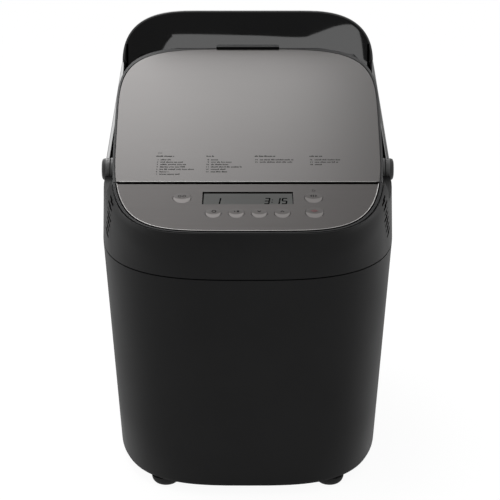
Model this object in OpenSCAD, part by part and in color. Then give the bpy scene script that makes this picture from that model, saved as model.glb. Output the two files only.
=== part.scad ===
// Bread machine: an oval, tapered housing in two mouldings, a sloping control panel,
// a hinged lid, a carrying handle, and the baking chamber with its pan and kneading drive.
// X is to the right, Y to the back, Z up. The origin is on the floor, under the middle.

/* [Housing] */
// Width of the housing at the shoulder
body_w = 256.4; // [250:0.2:262]
// Depth of the housing at the shoulder
body_d = 408; // [396:1:420]
// Width of the housing at the base
base_w = 233; // [220:1:245]
// Depth of the housing at the base
base_d = 382; // [370:1:395]
// Height of the seam between the lower and the upper moulding
seam_h = 194; // [186:1:200]
// Gap of the seam
seam_gap = 1; // [0.6:0.1:1.6]
// Thickness of the moulded walls
wall = 2.8; // [2.2:0.1:3.4]
// Height of the lip that locates the two mouldings
lip_h = 7; // [5:0.5:9]
// Height of the housing's lower edge above the floor
foot_h = 8; // [6:0.5:10]
// Diameter of a foot
foot_d = 21.5; // [18:0.5:26]

/* [Top] */
// Height of the control panel's front edge
front_h = 235; // [231:1:240]
// Slope of the control panel
panel_tilt = 18; // [15:0.5:20]
// Length of the control panel along its slope
panel_len = 75; // [73:0.5:80]
// Slope of the lid
lid_tilt = 13.7; // [12:0.1:15]
// Height of the lid, from its lower edge to its top face
lid_h = 39.2; // [38.8:0.2:41]
// Width of the metal face at its middle
face_w = 235.8; // [232:0.2:238]
// Margin between the metal face and the front of the housing
front_margin = 6; // [5:0.5:7]
// Margin between the metal face and the back of the housing
back_margin = 47.5; // [46.5:0.5:50]
// Thickness of the metal face plates
plate_t = 1.6; // [1.2:0.1:2]
// Joint between the face plates and their frames
face_gap = 0.9; // [0.6:0.1:1]
// Width of the frame around the panel
trim_w = 2.3; // [2:0.1:3]
// Width of the lid's rim at its sides
lid_rim = 2.4; // [2.1:0.1:2.7]
// Width of the lid's rim at the back
lid_back_rim = 7; // [6:0.5:8]
// Wall of the lid moulding
lid_wall = 2.2; // [1.8:0.1:2.6]
// Gap between the closed lid and the deck
lid_gap = 1.2; // [0.9:0.1:1.5]
// Width of the steam slot at the back of the lid
steam_w = 62; // [50:1:70]

/* [Display and keys] */
// Width of the display window
window_w = 75.5; // [68:0.5:78]
// Height of the display window
window_h = 19; // [16:0.5:20]
// Distance from the panel's front edge to the middle of the window
window_u = 50.2; // [49:0.2:51]
// Radius of the menu, start and stop keys
big_key_r = 7.5; // [6.5:0.1:8]
// Radius of the four small keys
small_key_r = 6.5; // [5.5:0.1:7]
// Distance between the small keys
key_pitch = 19; // [18:0.2:20]
// Distance of the outer keys from the middle of the panel
key_x = 55; // [53:0.5:58]
// Distance from the panel's front edge to the front row of keys
key_row_u = 26.5; // [25:0.5:27]
// Clearance around a key
key_clear = 0.35; // [0.3:0.05:0.5]
// Travel of a key
key_travel = 0.7; // [0.5:0.1:0.8]

/* [Handle] */
// Distance of the handle's pivot behind the middle of the housing
pivot_back = -29; // [-34:1:-24]
// Depth of the pivot below the lid's face
pivot_drop = 34.6; // [34:0.2:36]
// Outer radius of the pivot boss
pivot_r = 9.9; // [9:0.1:10.4]
// Radius of the pivot pin
pivot_pin_r = 3; // [2.5:0.1:3.5]
// Width over the handle's arms
handle_w = 255.8; // [255:0.2:257]
// Thickness of an arm
arm_t = 4.1; // [3.6:0.1:4.3]
// Height of an arm
arm_h = 13.6; // [11:0.2:13.8]
// Height of the handle's bow above the floor
bow_top = 360; // [354:1:368]
// Depth of the bow from front to back
bow_d = 14; // [12:0.5:15]
// Thickness of the bow's web and flange
bow_t = 3.2; // [2.6:0.2:3.6]
// Thickness of the pivot caps
cap_t = 3.5; // [2.5:0.5:4]

/* [Baking chamber] */
// Width of the chamber liner
liner_w = 184; // [178:1:188]
// Length of the chamber liner
liner_l = 188; // [182:1:192]
// Thickness of the liner sheet
liner_t = 1.2; // [0.8:0.1:1.6]
// Distance of the kneading axis behind the middle of the housing
axis_y = 24; // [21:1:26]
// Height of the liner's floor
liner_z = 66; // [65:0.5:70]
// Width of the bread pan
pan_w = 130; // [122:1:134]
// Length of the bread pan
pan_l = 150; // [140:1:156]
// Height of the bread pan's body
pan_h = 133; // [120:1:136]
// Thickness of the pan's wall
pan_t = 1.8; // [1.4:0.1:2.4]
// Diameter of the heating element's sheath
heater_d = 6.6; // [5.6:0.2:7.4]

/* [Kneading drive] */
// Radius of the drive shaft and of the blade's shaft
shaft_r = 4; // [3.6:0.1:4.5]
// Running clearance of the shafts in their bushes
run_clear = 0.05; // [0.03:0.01:0.09]
// Radius of the large pulley
big_pulley_r = 55; // [48:1:58]
// Radius of the motor pulley
small_pulley_r = 10; // [8:0.5:12]
// Distance between the motor and the kneading axis
belt_centres = 136; // [135:1:140]
// Width of the drive belt
belt_w = 8; // [6:0.5:9]
// Thickness of the drive belt
belt_t = 2.6; // [2:0.2:3]
// Radius of the motor
motor_r = 38; // [34:0.5:39]
// Height of the motor
motor_h = 66; // [58:1:72]
// Length of the kneading blade
blade_l = 50; // [40:1:54]

/* [Hidden] */

black = [0.11, 0.11, 0.11];
gloss = [0.07, 0.07, 0.07];
grey = [0.30, 0.30, 0.30];
metal = [0.55, 0.53, 0.52];
steel = [0.72, 0.72, 0.74];
green = [0.13, 0.36, 0.22];

far = 400;                              // beyond every part of the machine
outline_n = 120;                        // points of an outline
exact = 96;                             // segments of a round face
snug = 0.02;                            // clearance of a pressed pin or a bedded plate

// --- outlines ---------------------------------------------------------------
shoulder_a = body_w / 2;
shoulder_b = body_d / 2;
base_a = base_w / 2;
base_b = base_d / 2;
base_round = 3;                         // rounding of the housing's lower edge
base_n = 3.15;                          // squareness of the oval, by height
seam_n = 2.95;
shoulder_n = 3.4;
face_front_n = 4.8;                     // squareness of the face at front and back
face_back_n = 4.2;
face_taper = 0.0423;                    // growth of its half width towards the back
face_y0 = front_margin - shoulder_b;
face_y1 = shoulder_b - back_margin;
face_yc = (face_y0 + face_y1) / 2;
face_b = (face_y1 - face_y0) / 2;
rim_w = 2 * face_gap + trim_w + 0.5;    // from the face to the edge of the housing's top

function raised(v, n) = (v < 0 ? -1 : 1) * pow(abs(v), 2 / n);
function oval(a, b, n, t) = [a * raised(cos(t), n), b * raised(sin(t), n)];
function face(t, out, back) =
    let (n = sin(t) < 0 ? face_front_n : face_back_n,
         y = face_yc + (face_b + (sin(t) < 0 ? out : back)) * raised(sin(t), n),
         a = face_w / 2 + out + face_taper * (y - face_yc))
    [a * raised(cos(t), n), y];
function turn(i) = 360 * i / outline_n;
function face_ring(out, back) = [for (i = [0:outline_n - 1]) face(turn(i), out, back)];
function mix(p, q, w) = p * (1 - w) + q * w;

// The housing widens and squares up from the base to the seam and the shoulder.
function low_share(z) = (z - foot_h) / (seam_h - foot_h);
seam_bulge = 2.1;                       // the seam is wider than the shoulder, but not as long
seam_a = shoulder_a + seam_bulge;
seam_b = mix(base_b, shoulder_b, 0.8);
function low_ring(z, inset, at) =
    let (s = low_share(z), n = mix(base_n, seam_n, s))
    [for (i = [0:outline_n - 1])
        let (p = oval(mix(base_a, seam_a, s) - inset, mix(base_b, seam_b, s) - inset, n, turn(i)))
        [p[0], p[1], at]];

// --- top faces --------------------------------------------------------------
panel_c = cos(panel_tilt);
panel_s = sin(panel_tilt);
panel_back_y = face_y0 + panel_len * panel_c;
panel_back_z = front_h + panel_len * panel_s;
lid_slope = tan(lid_tilt);
function panel_z(y) = front_h + (y - face_y0) * tan(panel_tilt);
function lid_z(y) = panel_back_z + (y - panel_back_y) * lid_slope;
function top_z(y) = y < panel_back_y ? panel_z(y) : lid_z(y);

pivot_y = pivot_back;
pivot_z = lid_z(pivot_y) - pivot_drop;
// The lid parts from the deck on a level line up to the pivot, then parallel to its face.
function part_z(y) = lid_z(max(y, pivot_y)) - lid_h;
deck_t = wall;

// A ring of the upper moulding at a depth below the top faces, blended to the face outline.
function top_ring(depth, a, b, n, blend, inset) =
    [for (i = [0:outline_n - 1])
        let (p = mix(oval(a - inset, b - inset, n, turn(i)),
                     face(turn(i), rim_w - inset, back_margin - 6 - inset), blend))
        [p[0], p[1], top_z(p[1]) - depth]];
function flat_ring(ring, z) = [for (p = ring) [p[0], p[1], z]];

// Solid between closed rings, listed upwards.
module loft(rings) {
    n = len(rings[0]);
    m = len(rings);
    sides = [for (k = [0:m - 2], i = [0:n - 1])
        let (a = k * n + i, b = k * n + (i + 1) % n)
        each [[a, a + n, b], [b, a + n, b + n]]];
    polyhedron([for (r = rings) each r],
               [[for (i = [0:n - 1]) i], each sides, [for (i = [n - 1:-1:0]) (m - 1) * n + i]]);
}

// Tube wall between rings listed up the outside and down the inside.
module loft_wall(rings) {
    n = len(rings[0]);
    m = len(rings);
    polyhedron([for (r = rings) each r],
               [for (k = [0:m - 1], i = [0:n - 1])
                   let (a = k * n + i, b = k * n + (i + 1) % n,
                        c = ((k + 1) % m) * n + i, d = ((k + 1) % m) * n + (i + 1) % n)
                   each [[a, c, b], [b, c, d]]]);
}

// Side view [y, z] carried across the machine, from x0 to x1.
module across(points, x0, x1) {
    translate([x0, 0, 0]) rotate([90, 0, 90]) linear_extrude(x1 - x0) polygon(points);
}
// Front view [x, z] carried backwards, from y0 to y1.
module backwards(points, y0, y1) {
    translate([0, y1, 0]) rotate([90, 0, 0]) linear_extrude(y1 - y0) polygon(points);
}
// Round bar across the machine.
module x_bar(r, x0, x1, y, z) {
    translate([x0, y, z]) rotate([0, 90, 0]) cylinder(r = r, h = x1 - x0, $fn = exact);
}
module both_sides() {
    children();
    mirror([1, 0, 0]) children();
}
module block(x0, x1, y0, y1, z0, z1) {
    translate([x0, y0, z0]) cube([x1 - x0, y1 - y0, z1 - z0]);
}
// Rounded rectangle, standing on z, centred on the kneading axis.
module rounded(w, l, r, h) {
    linear_extrude(h) {
        square([w - 2 * r, l], center = true);
        square([w, l - 2 * r], center = true);
        for (x = [-1, 1], y = [-1, 1])
            translate([x * (w / 2 - r), y * (l / 2 - r)]) circle(r = r, $fn = exact);
    }
}
module on_axis(z) {
    translate([0, axis_y, z]) children();
}
// Panel frame of reference: x across, y up the slope from the front edge, z out of the face.
module on_panel(x = 0, u = 0, out = 0) {
    translate([0, face_y0, front_h]) rotate([panel_tilt, 0, 0]) translate([x, u, out]) children();
}

// --- housing ----------------------------------------------------------------
module lower_housing() {
    top = seam_h - seam_gap / 2;
    lip_gap = 0.25;
    lip_t = 1.6;
    root = 14;                          // how far the lip's root reaches down the wall
    color(black) difference() {
        loft_wall([
            low_ring(foot_h, base_round, foot_h),
            low_ring(foot_h, base_round * 0.3, foot_h + base_round * 0.3),
            low_ring(foot_h + base_round, 0, foot_h + base_round),
            for (k = [1:3]) low_ring(mix(foot_h, top, k / 4), 0, mix(foot_h, top, k / 4)),
            low_ring(top, 0, top),
            low_ring(top, wall + lip_gap, top),
            low_ring(top, wall + lip_gap, top + lip_h),
            low_ring(top, wall + lip_gap + lip_t, top + lip_h),
            low_ring(top, wall + lip_gap + lip_t, top - root),
            low_ring(top - root, wall, top - root - 4),
            low_ring(foot_h + base_round, wall, foot_h + base_round),
            low_ring(foot_h, base_round + wall * 0.6, foot_h)]);
        gland_hole();
    }
}

module housing_outer() {
    seam = low_ring(seam_h, 0, seam_h + seam_gap / 2);
    edge = top_ring(0, shoulder_a, shoulder_b, shoulder_n, 1, 0);
    loft([seam,
          top_ring(28, shoulder_a - 0.1, shoulder_b - 1.2, shoulder_n - 0.15, 0, 0),
          top_ring(17, shoulder_a, shoulder_b - 0.4, shoulder_n, 0.04, 0),
          top_ring(9, shoulder_a, shoulder_b, shoulder_n, 0.22, 0),
          top_ring(4, shoulder_a, shoulder_b, shoulder_n, 0.55, 0),
          top_ring(1.2, shoulder_a, shoulder_b, shoulder_n, 0.86, 0),
          edge,
          flat_ring(edge, far)]);
}
module housing_inner() {
    edge = top_ring(9, shoulder_a, shoulder_b, shoulder_n, 0.5, wall);
    loft([low_ring(seam_h, wall, seam_h - 1),
          top_ring(28, shoulder_a, shoulder_b - 1.2, shoulder_n - 0.15, 0, wall),
          top_ring(17, shoulder_a, shoulder_b - 0.4, shoulder_n, 0.06, wall),
          edge,
          flat_ring(edge, far)]);
}
// Side view of the upper moulding below its top faces, lowered by a drop at the panel and the deck.
function housing_side(panel_drop, deck_drop, back) = [
    [-far, 0],
    [-far, panel_z(-far) - panel_drop],
    [panel_back_y - back, panel_z(panel_back_y - back) - panel_drop],
    [panel_back_y - back, part_z(panel_back_y) - deck_drop],
    [pivot_y, part_z(pivot_y) - deck_drop],
    [far, part_z(far) - deck_drop],
    [far, 0]];

hinge_y = face_y1 - 4.5;                // axis of the lid's hinge
hinge_z = lid_z(hinge_y) - 16;
hinge_x = 60;                           // middle of each hinge
hinge_r = 6.5;
hinge_pin_r = 3;
bracket_t = 6;
lid_ear_t = 4.5;
hinge_gap = 0.5;
arm_x0 = handle_w / 2 - arm_t;          // inner face of the handle's arm
arm_x1 = handle_w / 2;
ear_t = 2.4;                            // ear that carries the handle's pivot
ear_gap = 0.4;
ear_x1 = arm_x0 - ear_gap;
ear_x0 = ear_x1 - ear_t;
ear_root = min(ear_x0, shoulder_a - wall - 2);      // the ear's drum runs from inside the wall
ear_rim = max(ear_x1, shoulder_a - 0.6);            // to the shoulder, or to the ear
scoop_r = pivot_r + 0.6;                // hollow in the shoulder for the pivot boss
pocket_d = plate_t;                     // pocket of the panel plate and its frame
pocket_floor = 2.4;
board_depth = 15;                       // face to the control board
liner_round = 34;

vent_y = -148;                          // foremost slot of the lower row, and the steps between slots
vent_z = front_h + 10.4;
vent_step = [4.7, -5.8];
vent_l = 5.5;
vent_t = 1.5;
module vent_slots() {
    rise = vent_l / 2 * tan(panel_tilt);
    for (row = [[0, 0], [3, 3]], k = [0:6])
        translate([shoulder_a - 24, vent_y + row[0] + k * vent_step[0],
                   vent_z + row[1] + k * vent_step[1]])
            rotate([90, 0, 90]) linear_extrude(far)
                polygon([[-vent_l / 2, -rise - vent_t / 2], [vent_l / 2, rise - vent_t / 2],
                         [vent_l / 2, rise + vent_t / 2], [-vent_l / 2, -rise + vent_t / 2]]);
}
module key_holes(clear) {
    deep = pocket_d + pocket_floor + 1.5;
    for (k = KEYS)
        on_panel(k[0], k[1], -deep) cylinder(r = k[2] + clear, h = 2 * deep, $fn = exact);
    on_panel(lamp_x, lamp_u, -deep) cylinder(r = lamp_r + clear, h = 2 * deep, $fn = exact);
}
module upper_housing() {
    color(black) difference() {
        union() {
            difference() {
                intersection() {
                    housing_outer();
                    across(housing_side(0, 0, 0), -far, far);
                }
                intersection() {
                    housing_inner();
                    across(housing_side(pocket_d + pocket_floor, deck_t, wall), -far, far);
                }
            }
            both_sides() {
                x_bar(pivot_r, ear_x0, ear_x1, pivot_y, pivot_z);
                x_bar(scoop_r + wall, ear_root, ear_rim, pivot_y, pivot_z);
            }
        }
        both_sides() {
            x_bar(scoop_r, ear_x1, far, pivot_y, pivot_z);
            across([[pivot_y - 30, part_z(pivot_y)], [pivot_y - 30, far], [pivot_y + 40, far],
                    [pivot_y + 40, part_z(pivot_y + 40)], [pivot_y, part_z(pivot_y)]],
                   ear_x1, far);
            difference() {
                across([[pivot_y - 30, part_z(pivot_y)], [pivot_y - 30, far],
                        [pivot_y + 40, far], [pivot_y + 40, part_z(pivot_y + 40)],
                        [pivot_y, part_z(pivot_y)]], ear_root - 1, ear_x1 + 1);
                x_bar(pivot_r, ear_x0 - 0.2, ear_x1 + 2, pivot_y, pivot_z);
            }
            x_bar(pivot_pin_r + snug, ear_root - 1, far, pivot_y, pivot_z);
            vent_slots();
        }
        on_axis(liner_z + 20) rounded(liner_w + 0.6, liner_l + 0.6, liner_round + 0.3, far);
        intersection() {
            linear_extrude(far) polygon(face_ring(2 * face_gap + trim_w, 0));
            on_panel(-far, -40, -pocket_d) cube([2 * far, 40 + panel_len, 30]);
        }
        key_holes(key_clear);
        on_panel(-window_w / 2 + 1.5, window_u - window_h / 2 + 1.5, -10)
            cube([window_w - 3, window_h - 3, 20]);
    }
    color(black) both_sides() hinge_bracket();
}
module hinge_bracket() {
    foot = part_z(hinge_y) - deck_t / 2;
    difference() {
        across([[hinge_y - hinge_r, hinge_z], [hinge_y - hinge_r - 3, foot - 2],
                [hinge_y + hinge_r + 1, foot], [hinge_y + hinge_r, hinge_z],
                for (t = [15:15:165]) [hinge_y + hinge_r * cos(t), hinge_z + hinge_r * sin(t)]],
               hinge_x - bracket_t / 2, hinge_x + bracket_t / 2);
        x_bar(hinge_pin_r + snug, 0, far, hinge_y, hinge_z);
    }
}

// Base: a plate inside the housing's lower edge, with posts for the chassis and the boards.
base_t = 2.5;
base_edge = base_round + wall * 0.6 + 0.3;
chassis_z = foot_h + 42;
chassis_t = 2;
post_r = 6;
screw_r = 2;
motor_y = axis_y - belt_centres;
chassis_w = 176;
chassis_front = 44;                     // from the motor's axis to the chassis plate's front edge
chassis_back = 102;                     // from the kneading axis to its back edge
chassis_y0 = motor_y - chassis_front;
chassis_y1 = axis_y + chassis_back;
post_in = 10;                           // posts, in from the plate's sides, front and back
post_front = 20;
post_back = 14;
POSTS = [for (x = [-1, 1], y = [chassis_y0 + post_front, chassis_y1 - post_back])
            [x * (chassis_w / 2 - post_in), y]];
board_z = chassis_z - 10;
power_w = 110;                          // power board
power_l = 40;
board_y = chassis_y1 + power_l / 2 + 5;
BOARD_POSTS = [for (x = [-1, 1], y = [-1, 1])
                  [x * (power_w / 2 - 7), board_y + y * (power_l / 2 - 5)]];
foot_in_x = 46;                         // feet, in from the base's sides and ends
foot_in_y = 29.5;
FEET = [for (x = [-1, 1], y = [-1, 1]) [x * (base_a - foot_in_x), y * (base_b - foot_in_y)]];
module base_plate() {
    color(black) difference() {
        union() {
            translate([0, 0, foot_h]) linear_extrude(base_t)
                polygon([for (p = low_ring(foot_h, base_edge, 0)) [p[0], p[1]]]);
            for (p = POSTS)
                translate([p[0], p[1], foot_h]) cylinder(r = post_r, h = chassis_z - foot_h, $fn = exact);
            for (p = BOARD_POSTS)
                translate([p[0], p[1], foot_h]) cylinder(r = 3.5, h = board_z - foot_h, $fn = exact);
        }
        for (p = POSTS)
            translate([p[0], p[1], chassis_z - 14])
                cylinder(r = screw_r + 0.05, h = 20, $fn = exact);
        for (x = [-5:5], y = [motor_y, motor_y + 28])
            translate([x * 9 - 2, y - 11, 0]) cube([4, 22, far / 10]);
    }
}
module rubber_feet() {
    color(grey) for (p = FEET)
        translate([p[0], p[1], 0]) rotate_extrude($fn = exact)
            polygon([[0, 0], [foot_d / 2 - 1.5, 0], [foot_d / 2, 1.5], [foot_d / 2, foot_h], [0, foot_h]]);
}
module base_screws() {
    color(steel) for (p = POSTS)
        translate([p[0], p[1], chassis_z - 12]) {
            cylinder(r = screw_r, h = 12 + chassis_t, $fn = exact);
            translate([0, 0, 12 + chassis_t]) cylinder(r = 4, h = 2.4, $fn = exact);
        }
}
gland_z = 40;
gland_r = 8;
gland_x = -40;
module gland_hole() {
    translate([gland_x, base_b - 60, gland_z]) rotate([-90, 0, 0])
        cylinder(r = gland_r, h = 120, $fn = exact);
}
// Grommet for the mains cord: a ring in the back wall.
module cord_gland() {
    y = gland_wall_y;
    color(black) translate([gland_x, y, gland_z]) rotate([-90, 0, 0]) rotate_extrude($fn = exact)
        polygon([[4, -4], [gland_r + 2.5, -4], [gland_r + 2.5, -0.4], [gland_r - 0.05, -0.4],
                 [gland_r - 0.05, wall + 3.2], [4, wall + 3.2]]);
}
gland_wall_y = let (s = low_share(gland_z)) mix(base_b, seam_b, s)
    * pow(1 - pow((gland_r - gland_x) / mix(base_a, seam_a, s), 3.1), 1 / 3.1) - wall - 1.2;

// --- panel ------------------------------------------------------------------
lamp_x = key_x + 0.3;
lamp_u = window_u + 11.4;
lamp_r = 1;
start_u = window_u + 0.4;
KEYS = [[-key_x, window_u, big_key_r],
        [-1.5 * key_pitch, key_row_u, small_key_r],
        [-0.5 * key_pitch, key_row_u, small_key_r],
        [0.5 * key_pitch, key_row_u, small_key_r],
        [1.5 * key_pitch, key_row_u, small_key_r],
        [key_x, start_u, big_key_r],
        [key_x, key_row_u + 0.8, big_key_r]];
plate_back = 0.8;                       // from the panel's back edge to its plate
module panel_prism(out, u0, u1, low, high) {
    intersection() {
        linear_extrude(far) polygon(face_ring(out, 0));
        on_panel(-far, u0, low) cube([2 * far, u1 - u0, high - low]);
    }
}
module panel_plate() {
    color(metal) difference() {
        panel_prism(0, -40, panel_len - plate_back, -plate_t, 0);
        key_holes(key_clear);
        on_panel(-window_w / 2 - 0.2, window_u - window_h / 2 - 0.2, -10)
            cube([window_w + 0.4, window_h + 0.4, 20]);
    }
}
module panel_frame() {
    color(black) difference() {
        panel_prism(face_gap + trim_w, -40, panel_len - 0.3, -plate_t, 0.2);
        panel_prism(face_gap, -60, panel_len + 1, -plate_t - 1, 5);
    }
}
module display_window() {
    color([0.40, 0.41, 0.40]) on_panel(-window_w / 2, window_u - window_h / 2, -pocket_d)
        cube([window_w, window_h, pocket_d - 0.3]);
}
module display_module() {
    color([0.37, 0.38, 0.37])
        on_panel(-window_w / 2 - 3, window_u - window_h / 2 - 3, -board_depth)
            cube([window_w + 6, window_h + 5, board_depth - pocket_d - pocket_floor - 0.4]);
}
board_t = 1.6;
board_w = 2 * (key_x + 16);
board_u0 = key_row_u - 11;
board_l = window_u + 14 - board_u0;
module control_board() {
    color(green) on_panel(-board_w / 2, board_u0, -board_depth - board_t)
        cube([board_w, board_l, board_t]);
}
switch_top = -board_depth + 4.4;
module key_switches() {
    color(grey) for (k = KEYS)
        on_panel(k[0], k[1]) {
            translate([-3, -3, -board_depth]) cube([6, 6, 3.5]);
            translate([0, 0, -board_depth + 3.5]) cylinder(r = 1.6, h = 0.9, $fn = exact);
        }
}
module board_bracket() {
    posts = -pocket_d - pocket_floor;
    color(grey) difference() {
        union() {
            on_panel(-board_w / 2 - 1, board_u0, -board_depth - board_t - 1.5)
                cube([board_w + 2, board_l, 1.5]);
            for (x = [-1, 1], u = [board_u0, board_u0 + board_l - 14])
                on_panel(x * (board_w / 2 + 2.7) - 2.5, u, -board_depth - board_t - 1.5)
                    cube([5, 14, board_depth + board_t + 1.5 + posts]);
        }
        on_panel(-board_w / 2 + 6, board_u0 + 6, -board_depth - 8)
            cube([board_w - 12, board_l - 12, 10]);
    }
}
// Key: a round cap whose front half slopes down, a flange under the panel and a stem.
module key(k) {
    under = -pocket_d - pocket_floor - 0.4;
    color(metal) on_panel(k[0], k[1]) {
        difference() {
            translate([0, 0, under - 0.2]) cylinder(r = k[2], h = 0.35 - under + 0.2, $fn = exact);
            translate([-k[2] - 1, 0, 0.35]) rotate([8, 0, 0])
                translate([0, -2 * k[2], 0]) cube([2 * k[2] + 2, 2 * k[2], 4]);
        }
        translate([0, 0, under - 1.5]) cylinder(r = k[2] + 1.2, h = 1.5, $fn = exact);
        translate([0, 0, switch_top + key_travel + 0.2])
            cylinder(r = 2, h = under - 1.4 - switch_top - key_travel - 0.2, $fn = exact);
    }
}
module menu_key() key(KEYS[0]);
module clock_key() key(KEYS[1]);
module size_key() key(KEYS[2]);
module down_key() key(KEYS[3]);
module up_key() key(KEYS[4]);
module start_key() key(KEYS[5]);
module stop_key() key(KEYS[6]);
module start_lamp() {
    color([0.5, 0.2, 0.15]) on_panel(lamp_x, lamp_u, -board_depth)
        cylinder(r = lamp_r, h = board_depth, $fn = exact);
}

// --- lid --------------------------------------------------------------------
lid_y0 = panel_back_y + 1;
lid_y1 = face_y1 + lid_back_rim;
lid_reach = norm([lid_y0 - hinge_y, lid_z(lid_y0) - hinge_z]);
function lid_foot(y) = part_z(y) + lid_gap;
// The front face leans back, so that it clears the panel as the lid swings up.
lid_foot_y0 = hinge_y + 0.3 - sqrt(pow(lid_reach, 2) - pow(lid_foot(lid_y0) - hinge_z, 2));
tail = 9;                               // chamfer under the back edge
tail_y = hinge_y + 3;
plug_w = liner_w - 14;
plug_l = liner_l - 14;
plug_h = 6;
front_rim = 0.6;                        // from the lid's front edge to its plate
liner_skin = 1.5;
ear_clear = 0.5;                        // the lid's sides keep clear of the pivot's ears,
lid_give = max(0, face_w / 2 + face_taper * (pivot_y - face_yc) + lid_rim + ear_clear - ear_x0);
module lid_outline(out, back) {         // and give way where these stand further in
    linear_extrude(far) polygon(face_ring(out - lid_give, back));
}
function lid_side(top, side, foot) = [
    [lid_y0 + side, lid_z(lid_y0 + side) - top],
    [lid_foot_y0 + side, lid_foot(lid_foot_y0) - foot],
    [pivot_y, lid_foot(pivot_y) - foot],
    [tail_y, lid_foot(tail_y) - foot],
    [lid_y1 - side, lid_foot(lid_y1) + tail - foot],
    [lid_y1 - side, lid_z(lid_y1) - 6 - top],
    [lid_y1 - 2 - side, lid_z(lid_y1 - 2) - 2.2 - top],
    [lid_y1 - 4.5 - side, lid_z(lid_y1 - 4.5) - top]];
hood_y0 = face_y1 + face_gap + 0.3;     // hood over the steam slot
hood_y1 = lid_y1 - 1.4;
hood_h = 2.2;
module steam_hood(w, y0, y1, h) {
    across([[y0, lid_z(y0) - 3.5], [y1, lid_z(y1) - 3.5], [y1, lid_z(y1) + h], [y0, lid_z(y0) + h]],
           -w / 2, w / 2);
}
module lid_shell() {
    color(black) difference() {
        union() {
            difference() {
                intersection() {
                    lid_outline(lid_rim, lid_back_rim);
                    across(lid_side(0, 0, 0), -far, far);
                }
                intersection() {
                    lid_outline(lid_rim - lid_wall, lid_back_rim - lid_wall);
                    across(lid_side(plate_t + lid_wall, lid_wall, 20), -far, far);
                }
            }
            steam_hood(steam_w, hood_y0, hood_y1, hood_h);
            both_sides() for (x = [hinge_x - bracket_t / 2 - hinge_gap - lid_ear_t,
                                   hinge_x + bracket_t / 2 + hinge_gap])
                lid_ear(x);
        }
        intersection() {
            lid_outline(face_gap, face_gap);
            across([[lid_y0 - 1, lid_z(lid_y0 - 1) - plate_t], [far, lid_z(far) - plate_t],
                    [far, far * 2], [lid_y0 - 1, far * 2]], -far, far);
        }
        across([[hood_y0 - 0.2, lid_z(hood_y0)], [hood_y0 + 1.2, lid_z(hood_y0) - 14],
                [hood_y1 - 1.6, lid_z(hood_y0) - 14], [hood_y1 - 1.6, lid_z(hood_y0) + hood_h],
                [hood_y0 - 0.2, lid_z(hood_y0) + hood_h - 0.8]], 2.5 - steam_w / 2, steam_w / 2 - 2.5);
        both_sides() {
            x_bar(hinge_pin_r + run_clear, 0, far, hinge_y, hinge_z);
            block(hinge_x - bracket_t / 2 - 1, hinge_x + bracket_t / 2 + 1,
                  hinge_y + hinge_r, far, 0, hinge_z + 8);
        }
    }
}
module lid_ear(x) {
    across([[hinge_y - hinge_r, lid_z(hinge_y - hinge_r) - plate_t - lid_wall / 2],
            for (t = [180:15:360]) [hinge_y + hinge_r * cos(t), hinge_z + hinge_r * sin(t)],
            [hinge_y + hinge_r, lid_z(hinge_y + hinge_r) - plate_t - lid_wall / 2]],
           x, x + lid_ear_t);
}
module lid_plate() {
    color(metal) intersection() {
        lid_outline(0, 0);
        across([[lid_y0 + front_rim, lid_z(lid_y0 + front_rim) - plate_t + snug],
                [far, lid_z(far) - plate_t + snug], [far, lid_z(far)],
                [lid_y0 + front_rim, lid_z(lid_y0 + front_rim)]], -far, far);
    }
}
liner_y1 = hinge_y - hinge_r - 10;
module lid_liner() {
    low = 0.2;
    color(steel) difference() {
        union() {
            lid_liner_plate(low);
            intersection() {
                on_axis(0) rounded(plug_w, plug_l, liner_round - 7, far);
                across([[-far, part_z(-far) - plug_h], [pivot_y, part_z(pivot_y) - plug_h],
                        [far, part_z(far) - plug_h], [far, lid_foot(far) + low],
                        [pivot_y, lid_foot(pivot_y) + low], [-far, lid_foot(-far) + low]], -far, far);
            }
        }
        intersection() {
            on_axis(0) rounded(plug_w - 2 * liner_skin, plug_l - 2 * liner_skin,
                               liner_round - 7 - liner_skin, far);
            across([[-far, part_z(-far) - plug_h + liner_skin],
                    [pivot_y, part_z(pivot_y) - plug_h + liner_skin],
                    [far, part_z(far) - plug_h + liner_skin], [far, 2 * far], [-far, 2 * far]],
                   -far, far);
        }
    }
}
module lid_liner_plate(low) {
    intersection() {
        lid_outline(lid_rim - lid_wall - 0.3, 0);
        across([[lid_foot_y0 + lid_wall + 0.3, lid_foot(lid_foot_y0) + low],
                [pivot_y, lid_foot(pivot_y) + low], [liner_y1, lid_foot(liner_y1) + low],
                [liner_y1, lid_foot(liner_y1) + low + liner_skin],
                [pivot_y, lid_foot(pivot_y) + low + liner_skin],
                [lid_foot_y0 + lid_wall + 0.6, lid_foot(lid_foot_y0) + low + liner_skin]],
               -far, far);
    }
}
module lid_seal() {
    color(grey) difference() {
        intersection() {
            on_axis(0) rounded(liner_w + 8, liner_l + 8, liner_round + 4, far);
            across([[-far, part_z(-far) + 0.2], [pivot_y, part_z(pivot_y) + 0.2],
                    [far, part_z(far) + 0.2], [far, lid_foot(far) + 0.2],
                    [pivot_y, lid_foot(pivot_y) + 0.2], [-far, lid_foot(-far) + 0.2]], -far, far);
        }
        on_axis(0) rounded(plug_w, plug_l, liner_round - 7, far * 2);
    }
}
module lid_hinge_pins() {
    half = bracket_t / 2 + hinge_gap + lid_ear_t;
    color(steel) both_sides() x_bar(hinge_pin_r, hinge_x - half, hinge_x + half, hinge_y, hinge_z);
}

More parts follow.
